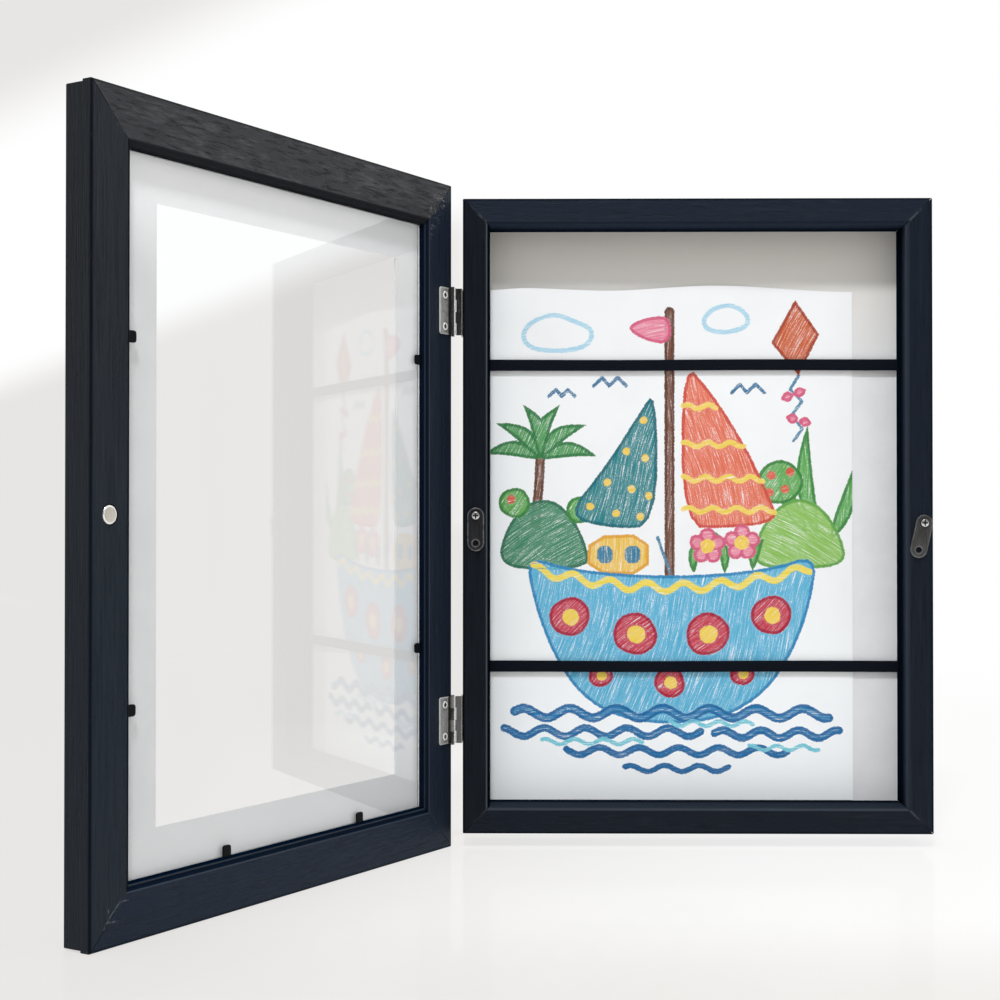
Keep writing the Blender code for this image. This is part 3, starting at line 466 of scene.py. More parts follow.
def card(name, colour, door=False, core=None, fibre=0.5, painted_light_tones=()):
    """Uncoated card: a fine tooth, faint mottling and, where asked, a white core on its cut edges.

    The core is given by the depths that it lies between. Painted light can lay other tones towards
    some of its edges, lighter where it lifts shade and darker where it paints shade, each a colour,
    an axis, the place where it starts and the place where it is full.
    """
    n = Finish(name, door)
    tooth = n.noise(2600.0, 3.0, 0.6)
    mottle = n.noise(55.0, 3.0, 0.55)
    strands = n.noise((420.0, 900.0, 1500.0), 2.0, 0.5, 0.5)
    n.tone = n.mix(mottle.ramp(0.35, 0.68), colour, toned(colour, 0.955))
    n.paint(strands.ramp(0.60, 0.72) * (0.22 * fibre), toned(colour, 0.86))
    parts = n.parts(n.place)
    # Painted light and shade, laid towards some edges
    for other, axis, start, full in painted_light_tones:
        n.paint(parts[axis].ramp(start, full) * 0.92, other)
    if core is not None:
        layers = n.noise((90.0, 9000.0, 90.0), 2.0, 0.6).ramp(0.35, 0.65)
        inside = (parts[1] > core[0]) * (parts[1] < core[1])
        n.paint(inside, n.mix(layers, (0.86, 0.86, 0.84), (0.78, 0.775, 0.75)))
    n.bump(tooth * 0.6 + strands * 0.4, 0.00005, 0.6)
    return n.done(Roughness=mottle.line(0.3, 0.7, 0.74, 0.86), Specular_IOR_Level=0.25)


def hardboard(name):
    """Brown pressed-fibre board."""
    n = Finish(name, False)
    fibres = n.noise((700.0, 700.0, 330.0), 4.0, 0.65, 1.2)
    specks = n.noise(1500.0, 2.0, 0.6).ramp(0.62, 0.74)
    broad = n.noise(16.0, 3.0, 0.55)
    n.tone = n.mix(fibres.ramp(0.34, 0.66), (0.185, 0.108, 0.058), (0.335, 0.215, 0.125))
    n.paint(broad.ramp(0.35, 0.7, 0.0, 0.5), (0.245, 0.150, 0.083))
    n.paint(specks * 0.5, (0.085, 0.047, 0.026))
    n.bump(fibres, 0.00012, 0.7)
    return n.done(Roughness=fibres.line(0.3, 0.7, 0.62, 0.80), Specular_IOR_Level=0.3)


def steel(name, colour, rough, door=False, grime=0.12, scale=1.0):
    """Brushed metal with fine scratches and a little grime."""
    n = Finish(name, door)
    brushed = n.noise(tuple(part * scale for part in (3000.0, 2200.0, 130.0)), 3.0, 0.6)
    patches = n.noise(380.0, 3.0, 0.6)
    nicks = n.noise((1500.0, 1500.0, 500.0), 2.0, 0.6, 1.5).ramp(0.66, 0.74)
    n.tone = n.mix(brushed.ramp(0.35, 0.68), toned(colour, 0.66), colour)
    n.paint(patches.ramp(0.50, 0.75) * grime, toned(colour, 0.35))
    n.paint(nicks * 0.3, toned(colour, 1.35))
    n.set(Roughness=(brushed * 0.5 + patches * 0.5).line(0.35, 0.65, *rough), Metallic=1.0)
    n.bump(brushed - nicks * 0.6, 0.00003, 0.6)
    return n


def screw_finish(node, axis, tint, dark, cross, metallic, rim, dim):
    """A plated screw: bright round its rim, where a pale tint stands for a painted highlight, with
    painted shade in its recess, a painted shadow at its very edge and painted shade over its upper
    part.
    """
    door = "door" in node
    n = steel(node + "_finish", tint, (0.24, 0.40), door, 0.06)
    centre = middle_of(node)
    centre = DOOR_TO_WORLD.inverted() @ centre if door else centre - BOX_MIDDLE
    parts = n.parts(n.vector("SUBTRACT", n.place, centre))
    first, second = (abs(parts[i]) for i in range(3) if i != axis)
    radius = n.reach(first, second)
    length, half, middle = cross
    arm = n.least(first, second).ramp(half + 0.00012, half - 0.00012)
    arm = arm * radius.ramp(length + 0.0002, length - 0.0002)
    hollow = radius.ramp(middle + 0.0002, middle - 0.0002)
    edge = radius.ramp(rim, rim + 0.0002)
    # Painted shade over the upper part of the head
    n.paint(parts[2].ramp(-0.0008, 0.0010) * dim, (0.10, 0.10, 0.10))
    # Painted shade in the cross and middle of the recess, and a painted shadow ring round the head
    n.paint(n.most(edge, arm, hollow), dark)
    return n.done(Metallic=metallic)


def barrel_tone(n, lower_barrel_shade):
    """The rolled barrel: painted shade towards the door, its colour on the lower hinge given apart,
    with one painted highlight line beside the box.
    """
    place = n.object_place()
    x, _, z = n.parts(place)
    from_pin = x - PIN.x
    # Painted shade over the barrel, darkest on the upper hinge
    barrel_shade = n.mix(z < BOX_MIDDLE.z, (0.012, 0.012, 0.013), lower_barrel_shade)
    rolled = n.mix(0.06, barrel_shade, n.tone)
    # Painted highlight: one bright line along the barrel, broken up here and there
    line = from_pin.ramp(0.0007, 0.0011) * from_pin.ramp(0.0018, 0.0015)
    line = line * n.noise(900.0, 2.0, 0.6, place=place).ramp(0.35, 0.55, 0.55, 1.0)
    return n.mix(line, rolled, (0.93, 0.93, 0.92))


def box_leaf_finish(name):
    """Bright hinge metal, with painted shade on the web in the gap and a painted highlight line at
    its bend.
    """
    n = steel(name, (0.70, 0.695, 0.68), (0.16, 0.30), False, 0.05)
    x = n.parts(n.place)[0]
    web = (x - (PIN.x - BOX_MIDDLE.x)).ramp(0.0016, 0.0020)
    bend = abs(x + (BOX_HALF.x + 0.00035)).ramp(0.00045, 0.0002)
    # Painted shade on the web in the gap
    web_shade = n.mix(0.80, n.tone, (0.028, 0.028, 0.031))
    n.tone = n.mix(web, barrel_tone(n, (0.16, 0.157, 0.150)), web_shade)
    # Painted highlight along the bend
    n.paint(bend * 0.75, (0.62, 0.615, 0.60))
    return n.done(Metallic=web.ramp(0.0, 1.0, 0.35, 1.0))


def door_leaf_finish(name):
    """Brushed hinge metal, with a painted highlight along the leaf's rolled edges, and painted
    shade towards the pin, round the screw holes and where it bends.
    """
    n = steel(name, (0.50, 0.505, 0.495), (0.22, 0.38), True, 0.04)
    low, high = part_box("upper_door_leaf")
    height, half = (low.z + high.z) / 2 - BOX_MIDDLE.z, (high.z - low.z) / 2
    x, _, z = n.parts(n.place)
    from_pin = x - (PIN.x - BOX_MIDDLE.x)
    from_middle = abs(abs(z) - height)
    # Painted highlight along the leaf's rolled edges and ends
    ends = from_middle.ramp(half - 0.0006, half - 0.0003) * from_pin.ramp(0.0026, 0.0034)
    rim = n.most(from_pin.ramp(0.0112, 0.0115), ends)
    rolled = from_pin.ramp(0.0024, 0.0019)
    bend = from_pin.ramp(0.0017, 0.0020) * from_pin.ramp(0.0040, 0.0030)
    bands = n.noise((1150.0, 1.0, 9.0))
    n.paint(bands.ramp(0.38, 0.62, 0.0, 0.45), (0.24, 0.24, 0.236))
    # Painted shade towards the pin
    n.paint(from_pin.ramp(0.0105, 0.0040) * 0.30, (0.13, 0.13, 0.129))
    # Painted shade round the screw holes
    sunk = n.reach(from_pin - LEAF_SCREW[0], from_middle - LEAF_SCREW[1]).ramp(0.0030, 0.0025)
    n.paint(sunk * 0.85, (0.030, 0.030, 0.031))
    # Painted shade where the leaf bends, then the painted highlight on its rims, then the barrel's
    # painted shade and highlight
    n.paint(bend * 0.93, (0.014, 0.014, 0.015))
    n.paint(rim, (0.66, 0.66, 0.65))
    n.paint(rolled, barrel_tone(n, (0.020, 0.020, 0.020)))
    return n.done(Metallic=rim.ramp(0.0, 1.0, 0.30, 0.15))


def plate_steel(name, pivot, tilt, tint):
    """Dark plated steel with a lighter line round its outline and round its free hole, partly edges
    worn bright and partly painted highlight.
    """
    n = steel(name, tint, (0.34, 0.50), grime=0.25)
    moved = n.vector("SUBTRACT", n.place, (pivot.x - BOX_MIDDLE.x, 0, pivot.z - BOX_MIDDLE.z))
    x, _, z = n.parts(n.swung(moved, "Y", -tilt))
    top, bottom = PLATE_END - PLATE_RADIUS, PLATE_END + PLATE_RADIUS - PLATE_LENGTH
    reach = n.reach(x, z - n.most(n.least(z, top), bottom))
    # Painted highlight along the rolled outline and round the free hole, partly worn bright, broken
    # up in places
    outline = abs(reach - (PLATE_RADIUS - 0.0004)).ramp(0.0005, 0.0002)
    ring = abs(n.reach(x, z + PLATE_SPACING) - 0.0021).ramp(0.0005, 0.0002)
    worn = n.noise(420.0, 3.0, 0.6).ramp(0.35, 0.60, 0.35, 1.0)
    n.paint(n.most(outline, ring) * worn, (0.21, 0.21, 0.215))
    return n.done()


def magnet_finish(name):
    """Plated magnet: a beige worn face inside a rounded rim painted bright as a highlight."""
    n = steel(name, (0.66, 0.62, 0.54), (0.24, 0.42), True, 0.15, 0.5)
    x, _, z = n.parts(n.vector("SUBTRACT", n.place, MAGNET_PLACE))
    rim = n.reach(x, z).ramp(MAGNET_RADIUS * 0.76, MAGNET_RADIUS * 0.84)
    n.paint(0.45, (0.60, 0.555, 0.475))
    # Painted highlight all round the rim
    n.paint(rim, (0.97, 0.965, 0.95))
    return n.done(Metallic=rim.ramp(0.0, 1.0, 0.55, 0.8))


def black_point(name, door):
    """Satin black strip with a slight orange peel and rubbed spots."""
    n = Finish(name, door)
    peel = n.noise(1900.0)
    rubbed = n.noise(700.0, 3.0, 0.65).ramp(0.58, 0.70)
    n.tone = n.mix(rubbed * 0.45, (0.0024, 0.0034, 0.0046), (0.018, 0.021, 0.025))
    n.bump(peel, 0.00004, 0.5)
    return n.done(Roughness=peel.line(0.35, 0.65, 0.38, 0.54), Specular_IOR_Level=0.08)


def elastic(name):
    """Black woven elastic: lengthwise cords crossed by a fine weft."""
    n = Finish(name, False)
    x, _, z = n.parts(n.place)
    weft = n.math("SINE", x * (math.tau / WEFT_PITCH))
    warp = n.math("SINE", z * (math.tau / CORD_PITCH))
    fuzz = n.noise((2200.0, 2600.0, 5200.0), 3.0, 0.6)
    height = weft * warp * 0.30 + warp * 0.35 + fuzz * 0.7
    n.tone = n.mix(height.ramp(-0.2, 1.0), (0.0010, 0.0020, 0.0048), (0.0060, 0.0088, 0.0165))
    n.paint(fuzz.ramp(0.60, 0.72) * 0.4, (0.020, 0.022, 0.030))
    n.set(Specular_IOR_Level=0.08, Sheen_Weight=0.02, Sheen_Roughness=0.5)
    n.bump(height, 0.00012, 0.8)
    return n.done(Roughness=fuzz.line(0.3, 0.7, 0.70, 0.88))


def clear_pane(name):
    """Clear sheet that lets lamps through, with faint wipe marks in its gloss."""
    n = Finish(name, True)
    wiped = n.noise((26.0, 26.0, 9.0), 4.0, 0.6, 0.7)
    n.tone = n.mix(wiped.ramp(0.3, 0.7), (0.992, 0.996, 0.998), (0.980, 0.986, 0.990))
    n.cover(n.rays("Shadow", "Diffuse"), n.node("BsdfTransparent", {"Color": (0.96, 0.965, 0.97)}))
    return n.done(Roughness=wiped.ramp(0.52, 0.72, 0.0, 0.035), IOR=1.5, Transmission_Weight=1.0)


def floor_finish(name):
    """Pale, slightly glossy floor that glows for the eye: at three quarters near the object, so
    that its shadow there is mostly washed out, and wholly far away, where it fades into the white
    background.
    Painted shade lies on its left and towards the front.
    """
    n = Finish(name)
    cloud = n.noise(3.0, 3.0)
    fine = n.noise(60.0, 3.0, 0.6)
    x, y, _ = n.parts(n.place)
    reach = n.reach(x, y)
    # Painted shade, beige, on the left beside the object, and far behind it only below the shade on
    # the background
    aside = x / n.most(y, LEAST_AHEAD)
    under = n.most(y.ramp(4.5, 2.5), aside.ramp(-0.56, -0.42))
    below_shade = aside.ramp(*SHADE_SIDE) * y.ramp(0.1, 0.6) * under
    left = n.most(x.ramp(0.10, -0.38) * reach.ramp(1.9, 0.8), below_shade)
    n.tone = n.mix(cloud.ramp(0.35, 0.7), (0.845, 0.828, 0.808), (0.832, 0.815, 0.796))
    n.paint(left, (0.715, 0.702, 0.694))
    # The glow that the eye sees, which washes out most of the shadow near the object
    share = n.rays("Camera", "Glossy", "Transmission") * reach.ramp(0.25, 1.4, 0.76, 1.0)
    # Painted shade in the glow towards the front, and on the left
    front_shade = n.mix(y.ramp(-0.19, -0.34) * reach.ramp(1.6, 0.6), WHITE, (0.86, 0.845, 0.825))
    shown = n.mix(left, front_shade, SHADE_COLOUR)
    n.cover(share, n.node("Emission", {"Color": shown, "Strength": 1.0}))
    return n.done(Roughness=fine.line(0.3, 0.7, 0.055, 0.075), Specular_IOR_Level=0.028)


def assign(node, material):
    """Gives a piece of the frame its finish."""
    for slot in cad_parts[node].material_slots:
        slot.material = material


# Meshes

WELD_DISTANCE = 0.00001
# Turns a drawing in local XY to stand in the plane of the box's front
STAND_UP = Matrix(((1, 0, 0, 0), (0, 0, -1, 0), (0, 1, 0, 0), (0, 0, 0, 1)))


def add_object(name, data):
    item = bpy.data.objects.new(name, data)
    bpy.context.scene.collection.objects.link(item)
    return item


def new_piece(name, mesh, body, slot, material, *replaced):
    """Adds a mesh drawn in the frame's own place, puts it on the body that it rides on, and hides
    the pieces that it stands for.
    """
    mesh.materials.clear()
    mesh.materials.append(material)
    item = add_object(name, mesh)
    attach(item, body)
    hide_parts(*replaced)
    return item


def smoothed(mesh, sharp=40.0):
    mesh.shade_smooth()
    mesh.set_sharp_from_angle(angle=math.radians(sharp))
    return mesh


def mesh_of(name, points, faces, sharp=40.0):
    mesh = bpy.data.meshes.new(name)
    mesh.from_pydata([tuple(point) for point in points], [], faces)
    mesh.validate()
    return smoothed(mesh, sharp)


def turn_faces_out(mesh, weld=False):
    """Turns all faces outwards, where asked after it has joined the points that meet."""
    work = bmesh.new()
    work.from_mesh(mesh)
    if weld:
        bmesh.ops.remove_doubles(work, verts=work.verts, dist=WELD_DISTANCE)
    bmesh.ops.recalc_face_normals(work, faces=work.faces)
    work.to_mesh(mesh)
    work.free()


def ring_points(rings, sides):
    """Points of level rings about local Z, each ring a radius and a height."""
    turns = [math.tau * step / sides for step in range(sides)]
    return [(radius * math.cos(turn), radius * math.sin(turn), height)
            for radius, height in rings for turn in turns]


def ring_faces(rings, sides, start=0):
    """Quads between rings of points that follow one another."""
    faces = []
    for low in range(start, start + (rings - 1) * sides, sides):
        for step in range(sides):
            after = (step + 1) % sides
            faces.append((low + step, low + sides + step, low + sides + after, low + after))
    return faces


def fan_faces(sides):
    """Triangles between a first point and the ring after it."""
    return [(0, 1 + step, 1 + (step + 1) % sides) for step in range(sides)]


def grid_faces(points):
    """Quads of a grid of points, given by their numbers."""
    corners = (points[:-1, :-1], points[:-1, 1:], points[1:, 1:], points[1:, :-1])
    return np.stack(corners, axis=-1).reshape(-1, 4).tolist()


def turned(name, profile, sides, matrix):
    """A closed solid turned about local Z from (radius, height) points, its ends on the axis."""
    rings = profile[1:-1]
    points = [(0, 0, profile[0][1]), *ring_points(rings, sides), (0, 0, profile[-1][1])]
    last = len(points) - 1
    low = last - sides
    faces = fan_faces(sides) + ring_faces(len(rings), sides, 1)
    faces += [(low + step, last, low + (step + 1) % sides) for step in range(sides)]
    mesh = mesh_of(name, points, faces)
    mesh.transform(matrix)
    turn_faces_out(mesh)
    return mesh


def circle(radius, x, y, steps=28):
    turns = [math.tau * step / steps for step in range(steps)]
    return [(x + radius * math.cos(turn), y + radius * math.sin(turn)) for turn in turns]


def arc(radius, x, y, start, span, steps):
    turns = [math.radians(start + span * step / steps) for step in range(steps + 1)]
    return [(x + radius * math.cos(turn), y + radius * math.sin(turn)) for turn in turns]


def pressed(name, loops, thick, roll):
    """A flat sheet with rolled edges in local XY. The first loop is its outline, the rest holes."""
    curve = bpy.data.curves.new(name, "CURVE")
    curve.dimensions = "2D"
    curve.fill_mode = "BOTH"
    curve.extrude = thick / 2 - roll
    curve.bevel_depth = roll
    curve.bevel_resolution = 4
    for loop in loops:
        spline = curve.splines.new("POLY")
        spline.points.add(len(loop) - 1)
        for point, (x, y) in zip(spline.points, loop):
            point.co = (x, y, 0, 1)
        spline.use_cyclic_u = True
    carrier = add_object(name + "_outline", curve)
    bpy.context.view_layer.update()
    evaluated = carrier.evaluated_get(bpy.context.evaluated_depsgraph_get())
    mesh = bpy.data.meshes.new_from_object(evaluated)
    bpy.data.objects.remove(carrier, do_unlink=True)
    bpy.data.curves.remove(curve)
    mesh.name = name
    turn_faces_out(mesh, weld=True)
    return smoothed(mesh)


# New pieces


def catch_plate(side, tilt, tint):
    """A pressed plate with rolled edges, round ends and two holes."""
    name, node = side + "_plate_dressed", side + "_catch_plate"
    low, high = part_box(node)
    pivot = middle_of(side + "_pivot_screw")
    radius = PLATE_RADIUS - PLATE_ROLL
    loops = [
        arc(radius, 0, PLATE_END - PLATE_RADIUS, 0, 180, 16)
        + arc(radius, 0, PLATE_END + PLATE_RADIUS - PLATE_LENGTH, 180, 180, 16),
        circle(PLATE_HOLES[0] + PLATE_ROLL, 0, 0),
        circle(PLATE_HOLES[1] + PLATE_ROLL, 0, -PLATE_SPACING),
    ]
    mesh = pressed(name, loops, high.y - low.y, PLATE_ROLL)
    place = Matrix.Translation((pivot.x, (low.y + high.y) / 2, pivot.z))
    mesh.transform(place @ Matrix.Rotation(tilt, 4, "Y") @ STAND_UP)
    finish = plate_steel(name + "_finish", pivot, tilt, tint)
    return new_piece(name, mesh, side + "_plate", "dark_steel", finish, node)


def door_leaf(name, node, material):
    """A hinge leaf on the door: a pressed plate with rolled edges and its two rolled knuckles."""
    low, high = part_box(node)
    height = (low.z + high.z) / 2 - BOX_MIDDLE.z
    half = (high.z - low.z) / 2
    pitch = 2 * half / KNUCKLES
    across, radius = LEAF_REACH - LEAF_CORNER, LEAF_CORNER - LEAF_ROLL
    outline = arc(radius, across, LEAF_CORNER - half, 270, 90, 6)
    outline += arc(radius, across, half - LEAF_CORNER, 0, 90, 6)
    # Down its side at the pin, which steps back beside the other leaf's knuckles
    for number in reversed(range(KNUCKLES)):
        other = number % 2
        inner = -KNUCKLE_GAP if other else KNUCKLE_GAP + LEAF_ROLL
        top = min((number + 1) * pitch - half - inner, half - LEAF_ROLL)
        bottom = max(number * pitch - half + inner, LEAF_ROLL - half)
        outline += [(LEAF_ROOTS[other], top), (LEAF_ROOTS[other], bottom)]
    side, up = LEAF_SCREW
    holes = [circle(LEAF_HOLE + LEAF_ROLL * 0.4, side, place) for place in (up, -up)]
    plate = pressed(name, [outline, *holes], LEAF_THICK, LEAF_ROLL)
    plate.transform(PIN_TO_WORLD @ Matrix.Translation((0, -LEAF_DEPTH, height)) @ STAND_UP)
    edge = [(KNUCKLE_RADIUS - KNUCKLE_EDGE, 0),
            (KNUCKLE_RADIUS - KNUCKLE_EDGE * 0.3, KNUCKLE_EDGE * 0.3),
            (KNUCKLE_RADIUS, KNUCKLE_EDGE)]
    place = PIN_TO_WORLD @ Matrix.Translation((0, 0, height))
    work = bmesh.new()
    work.from_mesh(plate)
    for number in range(0, KNUCKLES, 2):
        bottom, top = number * pitch - half + KNUCKLE_GAP, (number + 1) * pitch - half - KNUCKLE_GAP
        profile = [(0, bottom), *((radius, bottom + rise) for radius, rise in edge),
                   *((radius, top - rise) for radius, rise in reversed(edge)), (0, top)]
        knuckle = turned(name + "_knuckle", profile, 32, place)
        work.from_mesh(knuckle)
        bpy.data.meshes.remove(knuckle)
    work.to_mesh(plate)
    work.free()
    return new_piece(name, smoothed(plate), "door", "bright_steel", material, node)


def elastic_band(name, node, material):
    """A woven strap with rounded edges, shallow lengthwise cords and a slight slack."""
    low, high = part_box(node)
    middle, half = (low + high) / 2, (high - low) / 2
    steps, lengths = 40, 120
    section = []
    for step in range(steps):
        turn = math.tau * step / steps
        across = math.copysign(abs(math.cos(turn)) ** 0.42, math.cos(turn))
        depth = math.copysign(abs(math.sin(turn)) ** 0.55, math.sin(turn))
        cords = 1.0 - 0.10 * (0.5 + 0.5 * math.cos(across * math.pi * 8)) * abs(depth)
        section.append((across * half.z * 0.995, depth * half.y * 0.97 * cords))
    points = []
    for number in range(lengths + 1):
        share = number / lengths
        slack = math.sin(math.pi * share)
        sway = 0.00022 * slack * math.sin(share * 7.3 + middle.z * 40)
        narrow = 1.0 - 0.03 * slack
        points += [(low.x + 2 * half.x * share, middle.y + depth, middle.z + across * narrow + sway)
                   for across, depth in section]
    ends = [tuple(range(steps)), tuple(reversed(range(lengths * steps, (lengths + 1) * steps)))]
    mesh = mesh_of(name, points, ring_faces(lengths + 1, steps) + ends, sharp=60)
    turn_faces_out(mesh)
    return new_piece(name, mesh, "box", "elastic", material, node)


def door_magnet():
    """The magnet: a plated disc with a rounded rim and a shallow dish."""
    radius, half = MAGNET_RADIUS, MAGNET_HALF_THICK
    profile = [
        (0, half - 0.00012), (radius * 0.74, half - 0.00012), (radius * 0.81, half - 0.00004),
        (radius * 0.87, half), (radius * 0.92, half - 0.00005), (radius * 0.975, half - 0.00022),
        (radius, half - 0.00055), (radius, -half + 0.0002), (radius * 0.95, -half), (0, -half),
    ]
    turn = Vector((0, 0, 1)).rotation_difference(Vector((0, 1, 0))).to_matrix().to_4x4()
    place = DOOR_TO_WORLD @ Matrix.Translation(MAGNET_PLACE) @ turn
    mesh = turned("round_magnet", profile, 56, place)
    finish = magnet_finish("magnet_finish")
    return new_piece("round_magnet", mesh, "door", "nickel", finish, "door_magnet")


# The drawing: crayon shapes of a made-up harbour, held as distances on the sheet's points


def from_line(points, x, y):
    """Distance to a line through the points."""
    best = np.full(x.shape, 1e9)
    for (ax, ay), (bx, by) in zip(points[:-1], points[1:]):
        dx, dy = bx - ax, by - ay
        span = max(dx * dx + dy * dy, 1e-12)
        share = np.clip(((x - ax) * dx + (y - ay) * dy) / span, 0, 1)
        best = np.minimum(best, (x - ax - share * dx) ** 2 + (y - ay - share * dy) ** 2)
    return np.sqrt(best)


def from_outline(points, x, y):
    """Distance to a closed outline, below zero inside it."""
    ring = np.vstack((points, points[:1])).astype(float)
    inside = np.zeros(x.shape, bool)
    for (ax, ay), (bx, by) in zip(ring[:-1], ring[1:]):
        if by != ay:
            inside ^= ((ay > y) != (by > y)) & (x < ax + (bx - ax) * (y - ay) / (by - ay))
    return np.where(inside, -1.0, 1.0) * from_line(ring, x, y)


def shapes(*outlines):
    return lambda x, y: np.minimum.reduce([from_outline(outline, x, y) for outline in outlines])


def strokes(*lines):
    """Crayon lines, each its points and its half width."""
    return lambda x, y: np.minimum.reduce([from_line(line, x, y) - half for line, half in lines])


def rounded(points, rounds=2):
    """Cuts the corners of a closed outline until it is smooth."""
    ring = np.asarray(points, float)
    for _ in range(rounds):
        after = np.roll(ring, -1, axis=0)
        pairs = np.stack((ring * 0.75 + after * 0.25, ring * 0.25 + after * 0.75), axis=1)
        ring = pairs.reshape(-1, 2)
    return ring


def disc(x, y, radius, seed, steps=40):
    """A round shape drawn with an unsteady hand."""
    turns = np.linspace(0, math.tau, steps, endpoint=False)
    bumps = np.sin(turns * 2 + seed) + 0.7 * np.sin(turns * 3 + seed * 2.3)
    bumps += 0.4 * np.sin(turns * 5 + seed)
    reach = radius * (1 + 0.03 * bumps)
    return np.stack((x + reach * np.cos(turns), y + reach * np.sin(turns)), axis=1)


def wave(x0, x1, y, height, pitch, phase):
    across = np.linspace(x0, x1, max(8, int(abs(x1 - x0) / 2.0)))
    up = y + height * np.sin((across - x0) / pitch * math.tau + phase)
    return np.stack((across, up), axis=1)


def leaf(x, y, length, width, angle, bend=0.0):
    """A pointed leaf that grows from (x, y)."""
    steps = np.linspace(0, 1, 14)
    half = width / 2 * np.sin(np.pi * steps ** 0.85) ** 0.9
    curve = bend * np.sin(np.pi * steps) * length
    edge = np.concatenate((np.stack((steps * length, curve + half), 1),
                           np.stack((steps * length, curve - half), 1)[::-1]))
    along, aside = edge.T
    turn = math.radians(angle)
    ca, sa = math.cos(turn), math.sin(turn)
    return np.stack((x + along * ca - aside * sa, y + along * sa + aside * ca), axis=1)


